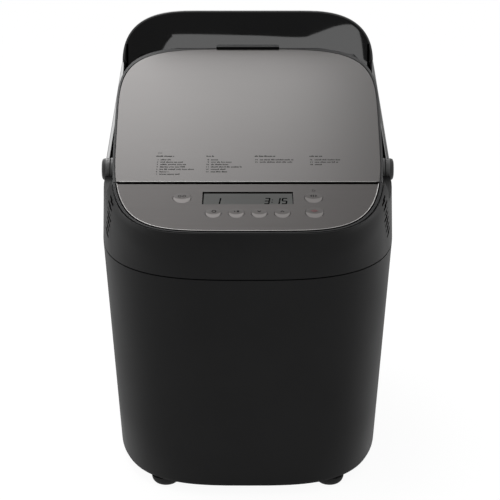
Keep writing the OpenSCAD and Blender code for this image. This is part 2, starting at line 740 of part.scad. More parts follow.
// --- handle -----------------------------------------------------------------
bow_y1 = shoulder_b;
bow_y0 = bow_y1 - bow_d;
bow_rx = 75;                            // rounding of the bow's upper corners
bow_rz = 57;
bow_n = 2.7;
arm_low = lid_h - 0.8;                  // the arm's lower edge, below the lid's face
function arm_z(y) = lid_z(y) - arm_low;
arm_rise = arm_h / cos(lid_tilt);
function bow_outline(inset) =
    let (w = handle_w / 2 - inset, top = bow_top - inset, rx = bow_rx - inset, rz = bow_rz - inset)
    concat([[w, 0]],
           [for (t = [0:7.5:90])
               [w - rx + rx * raised(cos(t), bow_n), top - rz + rz * raised(sin(t), bow_n)]],
           [for (t = [90:7.5:180])
               [rx - w + rx * raised(cos(t), bow_n), top - rz + rz * raised(sin(t), bow_n)]],
           [[-w, 0]]);
web_x = handle_w / 2 - 6.4;             // edge of the web below the corner
slot_top = bow_top - 33;
module handle_bail() {
    color(gloss) difference() {
        union() {
            both_sides() across([[pivot_y, arm_z(pivot_y)], [bow_y1, arm_z(bow_y1)],
                                 [bow_y1, arm_z(bow_y1) + arm_rise - 1.5],
                                 [bow_y1 - 4, arm_z(bow_y1 - 4) + arm_rise],
                                 [pivot_y, arm_z(pivot_y) + arm_rise]], arm_x0, arm_x1);
            both_sides() x_bar(pivot_r, arm_x0, arm_x1, pivot_y, pivot_z);
            intersection() {
                union() {
                    difference() {
                        backwards(bow_outline(0), bow_y0, bow_y1);
                        backwards(bow_outline(bow_t), bow_y0 - 1, bow_y1 + 1);
                    }
                    backwards(bow_outline(0), bow_y0, bow_y0 + bow_t);
                    both_sides()
                        block(web_x - 10, arm_x0 + 1, bow_y0, bow_y0 + 2.6 * bow_t, 0, slot_top + 8);
                }
                across([[0, arm_z(0)], [far, arm_z(far)], [far, 2 * far], [0, 2 * far]], -far, far);
            }
        }
        both_sides() {
            block(web_x, arm_x0, bow_y0 - 1, bow_y0 + 1.7 * bow_t, 0, slot_top);
            x_bar(pivot_pin_r + run_clear, 0, far, pivot_y, pivot_z);
            x_bar(pivot_pin_r + 2.5, arm_x1 - 1.6, far, pivot_y, pivot_z);
        }
    }
}
module handle_pivot_pins() {
    color(steel) both_sides() {
        x_bar(pivot_pin_r, ear_x0, arm_x1 - 1.4, pivot_y, pivot_z);
        x_bar(pivot_pin_r + 2, arm_x1 - 1.4, arm_x1 - 0.2, pivot_y, pivot_z);
    }
}
// Cap: a disc that stands a little out of the shoulder, on a neck where the arm lies deeper.
cap_proud = 3.2;
module handle_pivot_caps() {
    neck = max(0, shoulder_a + cap_proud - cap_t - arm_x1);
    color(grey) both_sides() translate([arm_x1, pivot_y, pivot_z]) rotate([0, 90, 0]) {
        if (neck > snug) cylinder(r = pivot_pin_r, h = neck + cap_t / 2, $fn = exact);
        translate([0, 0, neck > snug ? neck : 0]) rotate_extrude($fn = exact)
            polygon([[0, 0], [pivot_r, 0], [pivot_r, cap_t - 2.4], [pivot_r - 0.7, cap_t - 0.7],
                     [pivot_r - 2.4, cap_t], [0, cap_t]]);
    }
}

// --- baking chamber ---------------------------------------------------------
heater_z = liner_z + 14;
heater_x = liner_w / 2 - liner_t - 11;
heater_y = liner_l / 2 - liner_t - 9;
heater_bend = 26;
tail_x = 14;                            // the element's ends, side by side in the back wall
sensor_z = liner_z + 46;
seat_r = 24;                            // ring in the floor that takes the pan's foot
below_deck = [[-far, 0], [far, 0], [far, part_z(far)], [pivot_y, part_z(pivot_y)],
              [-far, part_z(-far)]];
module oven_liner() {
    color(steel) {
        difference() {
            intersection() {
                on_axis(liner_z) rounded(liner_w, liner_l, liner_round, far);
                across(below_deck, -far, far);
            }
            on_axis(liner_z + liner_t)
                rounded(liner_w - 2 * liner_t, liner_l - 2 * liner_t, liner_round - liner_t, far);
            on_axis(liner_z - 1) cylinder(r = shaft_r + 5, h = 10, $fn = exact);
            for (x = [-tail_x, tail_x])
                translate([x, axis_y, heater_z]) rotate([-90, 0, 0])
                    cylinder(r = heater_d / 2 + 0.2, h = far, $fn = exact);
            x_bar(2.7, -far, 0, axis_y, sensor_z);
        }
        on_axis(liner_z + liner_t) difference() {
            cylinder(r = seat_r + 5, h = 14, $fn = exact);
            translate([0, 0, -1]) cylinder(r = seat_r, h = 16, $fn = exact);
        }
    }
}
module liner_brackets() {
    h = liner_z - chassis_z - chassis_t;
    color(steel) for (x = [-1, 1], s = [-1, 1])
        translate([x * 60 - 8, axis_y + s * (liner_l / 2 - liner_round + 4), chassis_z + chassis_t])
            rotate([0, 0, s > 0 ? 0 : 180]) translate([s > 0 ? 0 : -16, 0, 0])
                across([[-1.5, 0], [14, 0], [14, 1.5], [0, 1.5], [0, h], [-14, h],
                        [-14, h - 1.5], [-1.5, h - 1.5]], 0, 16);
}
module rod_x(x0, x1, y) {
    x_bar(heater_d / 2, x0, x1, y, 0);
}
module rod_y(x, y0, y1) {
    translate([x, y0, 0]) rotate([-90, 0, 0]) cylinder(r = heater_d / 2, h = y1 - y0, $fn = exact);
}
module elbow(x, y, r, start) {
    translate([x, y, 0]) rotate([0, 0, start]) rotate_extrude(angle = 90, $fn = exact)
        translate([r, 0]) circle(d = heater_d, $fn = exact);
}
module heater_element() {
    b = heater_bend;
    t = 8;
    color(steel) on_axis(heater_z) {
        rod_x(b - heater_x, heater_x - b, -heater_y);
        both_sides() {
            elbow(heater_x - b, b - heater_y, b, -90);
            rod_y(heater_x, b - heater_y, heater_y - b);
            elbow(heater_x - b, heater_y - b, b, 0);
            rod_x(tail_x + t, heater_x - b, heater_y);
            elbow(tail_x + t, heater_y + t, t, 180);
            rod_y(tail_x, heater_y + t, liner_l / 2 + 16);
        }
    }
}
module temperature_sensor() {
    color(steel) {
        x_bar(2.5, -liner_w / 2 - 12, -liner_w / 2 + 12, axis_y, sensor_z);
        x_bar(7, -liner_w / 2 - 3, -liner_w / 2 - 0.1, axis_y, sensor_z);
    }
}

// --- pan --------------------------------------------------------------------
pan_z = liner_z + 26;
pan_round = 24;
pan_top = pan_z + pan_h;
bail_z = pan_top - 11;
bail_r = 2.2;
bush_r = 7;
foot_r = seat_r - 0.5;
module bread_pan() {
    color([0.36, 0.36, 0.37]) difference() {
        union() {
            on_axis(pan_z) rounded(pan_w, pan_l, pan_round, pan_h);
            on_axis(pan_top - 3) rounded(pan_w + 4, pan_l + 4, pan_round + 2, 3);
            on_axis(liner_z + liner_t + 0.1) difference() {
                cylinder(r = foot_r, h = pan_z - liner_z, $fn = exact);
                translate([0, 0, -1])
                    cylinder(r = foot_r - 3.5, h = pan_z - liner_z - liner_t + 0.9, $fn = exact);
            }
            both_sides() x_bar(6, pan_w / 2 - 1, pan_w / 2 + 4, axis_y, bail_z);
        }
        on_axis(pan_z + pan_t)
            rounded(pan_w - 2 * pan_t, pan_l - 2 * pan_t, pan_round - pan_t, far);
        on_axis(pan_z - 5) cylinder(r = bush_r, h = 20, $fn = exact);
        both_sides() x_bar(bail_r + 0.1, pan_w / 2 + 0.5, pan_w / 2 + 8, axis_y, bail_z);
    }
}
module pan_bail() {
    x = pan_w / 2 + 4 + bail_r + 0.5;
    y = pan_l / 2 + 2 + bail_r + 1;
    b = pan_round;
    color(steel) on_axis(bail_z) {
        translate([0, y, 0]) rotate([0, 90, 0])
            cylinder(r = bail_r, h = 2 * (x - b), center = true, $fn = exact);
        both_sides() {
            translate([x - b, y - b, 0]) rotate_extrude(angle = 90, $fn = exact)
                translate([b, 0]) circle(r = bail_r, $fn = exact);
            rotate([-90, 0, 0]) translate([x, 0, -2]) cylinder(r = bail_r, h = y - b + 2, $fn = exact);
            x_bar(bail_r - 0.1, pan_w / 2 + 0.7, x, 0, 0);
        }
    }
}
module lathe(points) {
    rotate_extrude($fn = exact) polygon(points);
}
module pan_bush() {
    bore = shaft_r + run_clear;
    color(steel) on_axis(pan_z)
        lathe([[bore, -3.5], [bush_r + 3, -3.5], [bush_r + 3, -0.1], [bush_r - 0.05, -0.1],
               [bush_r - 0.05, pan_t + 3.7], [bore, pan_t + 3.7]]);
}
blade_z = pan_z + pan_t + 4.5;
blade_hub = 19.5;
module pan_shaft() {
    color(steel) on_axis(coupling_z + 5.6)
        cylinder(r = shaft_r, h = blade_z + blade_hub - 2 - coupling_z - 5.6, $fn = exact);
}

// Dog coupling: the pan's half drops into the drive's half as the pan is set down.
coupling_z = liner_z + 11.5;            // where the two halves' dogs meet the discs
coupling_r = 13;
module dogs(z, h, start) {
    for (a = [start, start + 180])
        rotate([0, 0, a - 20]) translate([0, 0, z]) rotate_extrude(angle = 40, $fn = exact)
            translate([coupling_r - 6, 0]) square([5.5, h]);
}
module coupling_disc(z) {
    translate([0, 0, z])
        lathe([[shaft_r + 0.02, 0], [coupling_r, 0], [coupling_r, 4.6], [shaft_r + 0.02, 4.6]]);
}
module pan_coupling() {
    color(grey) on_axis(coupling_z) {
        coupling_disc(5.8);
        dogs(0.4, 6, 90);
    }
}
module drive_coupling() {
    color(grey) on_axis(coupling_z) {
        coupling_disc(-5);
        dogs(-1, 6.4, 0);
    }
}
module kneading_blade() {
    color([0.36, 0.36, 0.37]) on_axis(blade_z) {
        difference() {
            union() {
                cylinder(r = shaft_r + 5, h = blade_hub, $fn = exact);
                backwards([[0, 0.5], [blade_l - 6, 0.5], [blade_l, 5], [blade_l - 3, 18],
                           [blade_l - 14, 27], [blade_l - 26, 29], [14, 22], [0, 19]], -2, 2);
            }
            translate([0, 0, -1]) cylinder(r = shaft_r + 0.02, h = blade_hub - 0.9, $fn = exact);
        }
    }
}

// --- drive ------------------------------------------------------------------
block_r = 14;
block_z = chassis_z - 10;
bush_h = 8;
module plate_outline(w, y0, y1, r) {
    translate([0, (y0 + y1) / 2, 0]) {
        square([w - 2 * r, y1 - y0], center = true);
        square([w, y1 - y0 - 2 * r], center = true);
        for (x = [-1, 1], y = [-1, 1])
            translate([x * (w / 2 - r), y * ((y1 - y0) / 2 - r)]) circle(r = r, $fn = exact);
    }
}
module chassis_plate() {
    color(steel) translate([0, 0, chassis_z]) linear_extrude(chassis_t) difference() {
        plate_outline(chassis_w, chassis_y0, chassis_y1, 12);
        translate([0, axis_y]) circle(r = block_r + 0.1, $fn = exact);
        translate([0, motor_y]) circle(r = 12, $fn = exact);
        for (p = POSTS)
            translate(p) circle(r = screw_r + 0.1, $fn = exact);
    }
}
module bearing_block() {
    top = liner_z - block_z;
    seat = shaft_r + 4.05;
    color(metal) on_axis(block_z)
        lathe([[seat, 0], [block_r, 0], [block_r, 10 + chassis_t], [block_r + 10, 10 + chassis_t],
               [block_r + 10, 13 + chassis_t], [block_r, 13 + chassis_t], [block_r, top - 0.1],
               [seat, top - 0.1], [seat, top - bush_h], [seat - 1.5, top - bush_h],
               [seat - 1.5, bush_h], [seat, bush_h]]);
}
module shaft_bushes() {
    color([0.6, 0.45, 0.2]) for (z = [block_z, liner_z - bush_h])
        on_axis(z) lathe([[shaft_r + run_clear, 0.1], [shaft_r + 4, 0.1], [shaft_r + 4, bush_h - 0.2],
                          [shaft_r + run_clear, bush_h - 0.2]]);
}
belt_z = chassis_z - 24;
flange = 3;
module drive_shaft() {
    color(steel) on_axis(belt_z - 5) cylinder(r = shaft_r, h = coupling_z - 0.6 - belt_z + 5, $fn = exact);
}
module pulley(r, bore) {
    color(grey) translate([0, 0, belt_z]) difference() {
        lathe([[bore + 0.02, -2], [r + flange, -2], [r + flange, -0.5], [r, -0.5],
               [r, belt_w + 0.5], [r + flange, belt_w + 0.5], [r + flange, belt_w + 2],
               [bore + 0.02, belt_w + 2]]);
        if (r > 30)
            for (a = [0:60:300])
                rotate([0, 0, a]) translate([(r + bore + 3) / 2, 0, -3])
                    cylinder(r = (r - bore) / 2 - 11, h = belt_w + 6, $fn = exact);
    }
}
module large_pulley() on_axis(0) pulley(big_pulley_r, shaft_r);
module motor_pulley() translate([0, motor_y, 0]) pulley(small_pulley_r, 3);
module belt_loop(grow) {
    hull() {
        translate([0, axis_y]) circle(r = big_pulley_r + grow, $fn = exact);
        translate([0, motor_y]) circle(r = small_pulley_r + grow, $fn = exact);
    }
}
module drive_belt() {
    color(black) translate([0, 0, belt_z]) linear_extrude(belt_w) difference() {
        belt_loop(0.4 + belt_t);
        belt_loop(0.4);
    }
}
motor_z = chassis_z + chassis_t;
module motor_shaft() {
    color(steel) translate([0, motor_y, belt_z - 4])
        cylinder(r = 3, h = motor_z + 20 - belt_z + 4, $fn = exact);
}
module motor() {
    bore = 3 + run_clear;
    color(grey) translate([0, motor_y, motor_z]) {
        lathe([[bore, 0.1], [motor_r, 0.1], [motor_r, 4], [motor_r - 3, 5], [motor_r - 3, 16],
               [motor_r, 17], [motor_r, motor_h - 22], [motor_r - 3, motor_h - 21],
               [motor_r - 3, motor_h - 8], [motor_r - 9, motor_h], [0, motor_h], [0, 22], [bore, 22]]);
    }
}
module power_board() {
    t = 1.6;
    color(green) translate([-power_w / 2, board_y - power_l / 2, board_z]) cube([power_w, power_l, t]);
    color(grey) translate([0, board_y, board_z + t]) {
        translate([-46, -13, 0]) cube([34, 26, 24]);
        translate([8, -14, 0]) cube([18, 14, 16]);
        translate([40, 6, 0]) cylinder(r = 8, h = 22, $fn = exact);
        translate([22, 11, 0]) cylinder(r = 5, h = 16, $fn = exact);
    }
}

lower_housing();
upper_housing();
base_plate();
rubber_feet();
base_screws();
panel_plate();
panel_frame();
display_window();
display_module();
control_board();
key_switches();
board_bracket();
menu_key();
clock_key();
size_key();
down_key();
up_key();
start_key();
stop_key();
start_lamp();
lid_shell();
lid_plate();
lid_liner();
lid_seal();
lid_hinge_pins();
handle_bail();
handle_pivot_pins();
handle_pivot_caps();
oven_liner();
liner_brackets();
heater_element();
temperature_sensor();
bread_pan();
pan_bail();
pan_bush();
pan_shaft();
pan_coupling();
kneading_blade();
chassis_plate();
bearing_block();
shaft_bushes();
drive_shaft();
drive_coupling();
large_pulley();
drive_belt();
motor_pulley();
motor_shaft();
motor();
power_board();
cord_gland();
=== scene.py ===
"""Bread machine: finishes, printed marks and the smooth carrying handle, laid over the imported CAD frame.

Lengths in the shape functions are millimetres in the machine's frame (X right, Y back, Z up, origin
on the floor under the middle); meshes are written in metres.
"""

import math

import bpy
import bmesh
import numpy as np
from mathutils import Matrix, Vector


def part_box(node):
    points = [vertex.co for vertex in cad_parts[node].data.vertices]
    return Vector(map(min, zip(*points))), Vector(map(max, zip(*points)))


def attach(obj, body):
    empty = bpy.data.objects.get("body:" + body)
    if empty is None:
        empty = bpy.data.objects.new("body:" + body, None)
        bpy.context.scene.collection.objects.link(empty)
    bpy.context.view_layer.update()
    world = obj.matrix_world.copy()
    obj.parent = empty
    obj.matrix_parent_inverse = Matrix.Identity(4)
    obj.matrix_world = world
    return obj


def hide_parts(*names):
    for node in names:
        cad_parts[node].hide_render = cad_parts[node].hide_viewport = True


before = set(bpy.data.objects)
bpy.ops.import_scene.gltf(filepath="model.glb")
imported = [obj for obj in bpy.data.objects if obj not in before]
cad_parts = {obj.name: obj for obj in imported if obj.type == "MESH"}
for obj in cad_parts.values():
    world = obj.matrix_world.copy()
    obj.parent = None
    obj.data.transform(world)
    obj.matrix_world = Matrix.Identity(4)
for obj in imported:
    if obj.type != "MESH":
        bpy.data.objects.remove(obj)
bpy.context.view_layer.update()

bl_info = {
    "name": "Bread machine",
    "version": (1, 0, 0),
    "blender": (4, 5, 0),
    "location": "3D View > Sidebar > Machine",
    "description": "Finishes and surfaces of an oval bread machine with a metal face",
    "category": "Object",
}

MM = 0.001

# --- sizes shared with the solids ---------------------------------------------
FACE_Y0, FACE_Y1 = -198.0, 156.5         # metal face, front and back
FACE_HALF = 117.9                        # half width at its middle
FACE_TAPER = 0.0423
FACE_FRONT_N, FACE_BACK_N = 4.8, 4.2
PANEL_Z0, PANEL_TILT, PANEL_LEN = 235.0, math.radians(18.0), 75.0
LID_TILT = math.radians(13.7)
PANEL_BACK_Y = FACE_Y0 + PANEL_LEN * math.cos(PANEL_TILT)
PANEL_BACK_Z = PANEL_Z0 + PANEL_LEN * math.sin(PANEL_TILT)
ARM_DROP, ARM_TALL = 38.4, 13.6          # arm's lower edge below the lid's plane, and its height
PIVOT_Y, PIVOT_DROP = -29.0, 34.6          # handle's axis, and its place under the lid's plane
HOOD_U, HOOD_HALF, HOOD_R = 294.6, 28.6, 2.8
BOW_FRONT, BOW_BACK = 190.0, 204.0       # depths of the bow's front and back
BOW_LEAN, LEVEL_Z = 0.15, 300.0          # the bow's front leans back from this height upwards
BOW_HALF, BOW_TOP = 127.9, 360.0
DISPLAY_U, DISPLAY_W, DISPLAY_H = 50.2, 75.5, 19.0
START_U = 50.6                           # start key, up the panel's slope
VENT_Y, VENT_RISE = -148.0, 10.4         # foremost slot, and its height over the panel's front
VENT_STEP = (4.7, -5.8)
FOOT_R = 10.75                           # radius of the solid feet
JOINT_W = 2.6                            # width of the painted shade over the joint between the panel and the lid
CAMERA_ELEVATION, CAMERA_DISTANCE, CAMERA_TARGET_Z = math.radians(15.0), 1.589, 0.181
CARD_Y = -500.0                          # depth of the cards that the bow reflects


def lid_z(y):
    """Height of the lid's plane at a distance y."""
    return PANEL_BACK_Z + (y - PANEL_BACK_Y) * math.tan(LID_TILT)


def raised(v, n):
    """Signed power 2/n, which turns a circle's cosine and sine into a superellipse's."""
    return np.sign(v) * np.abs(v) ** (2.0 / n)


def face_outline(t, out=0.0, back=None):
    """Metal face's outline at angles t: a superellipse whose half width grows towards the back,
    squarer in front than behind, widened by out (and by back behind the middle)."""
    back = out if back is None else back
    middle, half = (FACE_Y0 + FACE_Y1) / 2, (FACE_Y1 - FACE_Y0) / 2
    front = np.sin(t) < 0
    n = np.where(front, FACE_FRONT_N, FACE_BACK_N)
    y = middle + (half + np.where(front, out, back)) * raised(np.sin(t), n)
    x = (FACE_HALF + out + FACE_TAPER * (y - middle)) * raised(np.cos(t), n)
    return x, y


# --- meshes ---------------------------------------------------------------------
def add_mesh(name, points, faces, smooth_angle=35.0):
    """Object from points (mm) and faces, doubles merged, faces turned outwards, sharp over an angle."""
    mesh = bpy.data.meshes.new(name)
    mesh.from_pydata((np.asarray(points, float) * MM).tolist(), [], [list(f) for f in faces])
    bm = bmesh.new()
    bm.from_mesh(mesh)
    bmesh.ops.remove_doubles(bm, verts=bm.verts, dist=1e-6)
    bmesh.ops.dissolve_degenerate(bm, edges=bm.edges, dist=1e-7)
    bmesh.ops.recalc_face_normals(bm, faces=bm.faces)
    limit = math.radians(smooth_angle)
    for f in bm.faces:
        f.smooth = True
    for e in bm.edges:
        e.smooth = len(e.link_faces) == 2 and e.calc_face_angle(0.0) < limit
    bm.to_mesh(mesh)
    bm.free()
    obj = bpy.data.objects.new(name, mesh)
    bpy.context.scene.collection.objects.link(obj)
    return obj


def grid(points, close_u=True, close_v=True, first=0):
    """Vertices and quads of a grid of points, shape (u, v, 3), closed in either direction."""
    nu, nv = points.shape[:2]
    u = np.arange(nu if close_u else nu - 1)
    v = np.arange(nv if close_v else nv - 1)
    uu, vv = np.meshgrid(u, v, indexing="ij")
    a = uu * nv + vv
    b = ((uu + 1) % nu) * nv + vv
    c = ((uu + 1) % nu) * nv + (vv + 1) % nv
    d = uu * nv + (vv + 1) % nv
    faces = np.stack([a, b, c, d], axis=-1).reshape(-1, 4) + first
    return points.reshape(-1, 3), faces


def join_grids(parts):
    """One list of points and faces from several grids, each (points, close_u, close_v)."""
    points, faces, count = [], [], 0
    for part, close_u, close_v in parts:
        p, f = grid(part, close_u, close_v, count)
        points.append(p)
        faces.append(f)
        count += len(p)
    return np.concatenate(points), np.concatenate(faces)


def panel_point(x, u, out):
    """Point on the control panel: across, up the slope from its front edge, and out of its face."""
    c, s = math.cos(PANEL_TILT), math.sin(PANEL_TILT)
    return np.stack([x, FACE_Y0 + u * c - out * s, PANEL_Z0 + u * s + out * c], axis=-1)


def lid_point(x, u, out):
    """Point on the lid's face: across, up the slope from the panel's back edge, and out of it."""
    c, s = math.cos(LID_TILT), math.sin(LID_TILT)
    return np.stack([x, PANEL_BACK_Y + u * c - out * s, PANEL_BACK_Z + u * s + out * c], axis=-1)


def prisms(corners):
    """Points and faces of four-sided prisms, shape (n, 8, 3): four corners below, then four above."""
    base = np.arange(len(corners))[:, None] * 8
    sides = [[3, 2, 1, 0], [4, 5, 6, 7], [0, 1, 5, 4], [1, 2, 6, 5], [2, 3, 7, 6], [3, 0, 4, 7]]
    return corners.reshape(-1, 3), np.concatenate([base + np.array(side)[None, :] for side in sides])


def strokes(name, place, quads, low, high):
    """Thin raised marks: each quad of corners (x, u) becomes a flat prism from low to high."""
    q = np.asarray(quads, float)
    levels = [place(q[..., 0], q[..., 1], np.full(q.shape[:2], level)) for level in (low, high)]
    return add_mesh(name, *prisms(np.concatenate(levels, axis=1)))


def bar(x, u, width, height, slant=0.0):
    """Corners of an upright bar, leaning right by slant times its height."""
    return [(x, u), (x + width, u), (x + width + slant * height, u + height),
            (x + slant * height, u + height)]


SEGMENTS = {
    "0": "abcdef", "1": "bc", "2": "abged", "3": "abgcd", "4": "fgbc", "5": "afgcd",
    "6": "afgedc", "7": "abc", "8": "abcdefg", "9": "abcdfg",
}


def digit(mark, x, u, width, height, line, slant=0.12):
    """Bars of a seven-segment digit with its lower left corner at (x, u)."""
    half = height / 2

    def lean(v):
        return x + slant * (v - u)

    flat = {"d": u, "g": u + half - line / 2, "a": u + height - line}
    tall = {"e": (0, u), "f": (0, u + half), "c": (width - line, u), "b": (width - line, u + half)}
    quads = []
    for s in SEGMENTS[mark]:
        if s in flat:
            v = flat[s]
            quads.append(bar(lean(v) + line * 0.55, v, width - line * 1.1, line, slant))
        else:
            dx, v = tall[s]
            quads.append(bar(lean(v) + dx, v + line * 0.2, line, half - line * 0.4, slant))
    return quads


# --- node groups ------------------------------------------------------------------
def new_group(name, kind, inputs, outputs):
    """Empty node group with named sockets."""
    group = bpy.data.node_groups.new(name, kind)
    for label, socket, value in inputs:
        item = group.interface.new_socket(label, in_out="INPUT", socket_type=socket)
        if value is not None:
            item.default_value = value
    for label, socket in outputs:
        group.interface.new_socket(label, in_out="OUTPUT", socket_type=socket)
    return group, group.nodes.new("NodeGroupInput"), group.nodes.new("NodeGroupOutput")


def soft_shading_group():
    """Geometry group that merges a solid's loose triangles and shades it smooth up to an edge angle."""
    group, source, result = new_group(
        "Soft shading", "GeometryNodeTree",
        [("Geometry", "NodeSocketGeometry", None), ("Edge angle", "NodeSocketFloat", 0.5)],
        [("Geometry", "NodeSocketGeometry")])
    merge = group.nodes.new("GeometryNodeMergeByDistance")
    merge.inputs["Distance"].default_value = 2e-6
    faces = group.nodes.new("GeometryNodeSetShadeSmooth")
    faces.domain = "FACE"
    edges = group.nodes.new("GeometryNodeSetShadeSmooth")
    edges.domain = "EDGE"
    edges.inputs["Shade Smooth"].default_value = False
    angle = group.nodes.new("GeometryNodeInputMeshEdgeAngle")
    above = group.nodes.new("FunctionNodeCompare")
    above.data_type, above.operation = "FLOAT", "GREATER_THAN"
    link = group.links.new
    link(source.outputs["Geometry"], merge.inputs["Geometry"])
    link(merge.outputs["Geometry"], faces.inputs["Geometry"])
    link(faces.outputs["Geometry"], edges.inputs["Geometry"])
    link(angle.outputs["Unsigned Angle"], above.inputs["A"])
    link(source.outputs["Edge angle"], above.inputs["B"])
    link(above.outputs["Result"], edges.inputs["Selection"])
    link(edges.outputs["Geometry"], result.inputs["Geometry"])
    return group


def shader_group(name, inputs, outputs, textures):
    """Shader group of textures on Object coordinates: each entry of textures names its node type, the
    stretch of its coordinates, its settings and the group outputs that its outputs feed."""
    group, source, result = new_group(name, "ShaderNodeTree", inputs, outputs)
    coords = group.nodes.new("ShaderNodeTexCoord")
    for kind, stretch, settings, feeds in textures:
        node = group.nodes.new(kind)
        scaled = group.nodes.new("ShaderNodeMapping")
        scaled.inputs["Scale"].default_value = stretch
        group.links.new(coords.outputs["Object"], scaled.inputs["Vector"])
        group.links.new(scaled.outputs["Vector"], node.inputs["Vector"])
        for label, value in settings.items():
            if isinstance(value, str):
                group.links.new(source.outputs[value], node.inputs[label])
            else:
                node.inputs[label].default_value = value
        for label, target in feeds.items():
            group.links.new(node.outputs[label], result.inputs[target])
    return group


def surface_groups():
    """The shared surface effects, each giving a fine Height and a broad Mottle, both about 0.5."""
    fine = [("Fineness", "NodeSocketFloat", 1500.0)]
    masks = [("Height", "NodeSocketFloat"), ("Mottle", "NodeSocketFloat")]
    noise, even = "ShaderNodeTexNoise", (1.0, 1.0, 1.0)

    def pair(name, stretch, detail, rough, broad):
        return shader_group(name, fine, masks, [
            (noise, stretch, {"Scale": "Fineness", "Detail": detail, "Roughness": rough}, {"Fac": "Height"}),
            (noise, broad[1], {"Scale": broad[0], "Detail": 3.0}, {"Fac": "Mottle"})])

    return {
        "grain": pair("Grain", even, 2.0, 0.5, (14.0, even)),
        "brushed": pair("Brushing", (0.02, 1.0, 1.0), 3.0, 0.7, (700.0, (0.015, 1.0, 1.0))),
        "turned": pair("Turning", (0.03, 0.03, 1.0), 2.0, 0.6, (60.0, (0.2, 0.2, 1.0))),
        "gloss": pair("Gloss", even, 4.0, 0.6, (25.0, even)),
        "cast": pair("Casting", even, 5.0, 0.7, (90.0, even)),
        "board": shader_group("Board", fine, masks, [
            ("ShaderNodeTexBrick", even, {"Scale": 90.0, "Mortar Size": 0.06}, {"Fac": "Height"}),
            ("ShaderNodeTexVoronoi", even, {"Scale": 260.0}, {"Distance": "Mottle"})]),
    }


# --- materials -----------------------------------------------------------------
def surface(name, color, rough, group, metallic=0.0, level=0.5, spread=0.1, relief=0.1, depth=0.06,
            fineness=1500.0, vary=0.04, low=0.3, high=0.7, anisotropic=0.0):
    """Principled material: the group's Mottle tints the colour by the spread and varies the roughness,
    and its Height is a bump of the given strength and depth (mm)."""
    material = bpy.data.materials.new(name)
    material.use_nodes = True
    tree = material.node_tree
    shader = tree.nodes["Principled BSDF"]
    shader.inputs["Metallic"].default_value = metallic
    shader.inputs["Specular IOR Level"].default_value = level
    shader.inputs["Anisotropic"].default_value = anisotropic
    masks = tree.nodes.new("ShaderNodeGroup")
    masks.node_tree = group
    masks.inputs["Fineness"].default_value = fineness

    def mapped(to_min, to_max):
        node = tree.nodes.new("ShaderNodeMapRange")
        for label, value in (("From Min", low), ("From Max", high), ("To Min", to_min), ("To Max", to_max)):
            node.inputs[label].default_value = value
        tree.links.new(masks.outputs["Mottle"], node.inputs["Value"])
        return node.outputs["Result"]

    mix = tree.nodes.new("ShaderNodeMix")
    mix.data_type = "RGBA"
    mix.inputs["A"].default_value = (*(c * (1 - spread) for c in color), 1.0)
    mix.inputs["B"].default_value = (*(c * (1 + spread) for c in color), 1.0)
    tree.links.new(mapped(0.0, 1.0), mix.inputs["Factor"])
    tree.links.new(mix.outputs["Result"], shader.inputs["Base Color"])
    tree.links.new(mapped(rough - vary, rough + vary), shader.inputs["Roughness"])
    bump = tree.nodes.new("ShaderNodeBump")
    bump.inputs["Strength"].default_value = relief
    bump.inputs["Distance"].default_value = depth * MM
    tree.links.new(masks.outputs["Height"], bump.inputs["Height"])
    tree.links.new(bump.outputs["Normal"], shader.inputs["Normal"])
    return material


def glow(name, color, strength):
    """Plain light-giving material for a card that only reflections see."""
    material = bpy.data.materials.new(name)
    material.use_nodes = True
    tree = material.node_tree
    tree.nodes.remove(tree.nodes["Principled BSDF"])
    light = tree.nodes.new("ShaderNodeEmission")
    light.inputs["Color"].default_value = (*color, 1.0)
    light.inputs["Strength"].default_value = strength
    tree.links.new(light.outputs["Emission"], tree.nodes["Material Output"].inputs["Surface"])
    return material


def paint(node, material):
    """Gives a CAD node a material."""
    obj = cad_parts[node]
    obj.data.materials.clear()
    obj.data.materials.append(material)


# --- properties -----------------------------------------------------------------
def shade(name, description, default):
    """Colour property."""
    return bpy.props.FloatVectorProperty(
        name=name, description=description, default=default, size=3, min=0.0, max=1.0, subtype="COLOR")


class MachineFinish(bpy.types.PropertyGroup):
    housing_color: shade("Housing", "Colour of the two housing mouldings", (0.0165, 0.0165, 0.0168))
    trim_color: shade("Trim", "Colour of the lid's rim and the panel's frame", (0.010, 0.010, 0.0105))
    cap_color: shade("Pivot caps", "Colour of the handle's pivot bosses and caps", (0.040, 0.040, 0.040))
    handle_color: shade("Handle", "Colour of the carrying handle", (0.0045, 0.0045, 0.0047))
    face_color: shade("Metal face", "Colour of the brushed lid and panel", (0.053, 0.049, 0.0475))
    print_color: shade("Print", "Colour of the printed marks on the metal", (0.006, 0.0057, 0.0055))


class MachineMarks(bpy.types.PropertyGroup):
    digit_height: bpy.props.FloatProperty(
        name="Digit height", description="Height of the display's digits", default=0.0096,
        min=0.006, max=0.012, subtype="DISTANCE", unit="LENGTH")
    line_pitch: bpy.props.FloatProperty(
        name="Line pitch", description="Distance between the printed lines on the lid",
        default=0.00465, min=0.003, max=0.007, subtype="DISTANCE", unit="LENGTH")
    edge_round: bpy.props.FloatProperty(
        name="Edge rounding", description="Radius of the metal plates' rolled edges",
        default=0.0005, min=0.0003, max=0.0006, subtype="DISTANCE", unit="LENGTH")


class MachineStage(bpy.types.PropertyGroup):
    key_power: bpy.props.FloatProperty(
        name="Key light", description="Power of the soft light overhead", default=8.6,
        min=0.0, max=200.0, unit="POWER")
    back_power: bpy.props.FloatProperty(
        name="Back light", description="Power of the soft light behind the bow", default=1.8,
        min=0.0, max=200.0, unit="POWER")
    fill_level: bpy.props.FloatProperty(
        name="Fill", description="Brightness of the surroundings on matt surfaces", default=0.65,
        min=0.0, max=2.0)
    floor_color: shade("Floor", "Colour of the floor", (0.80, 0.80, 0.80))


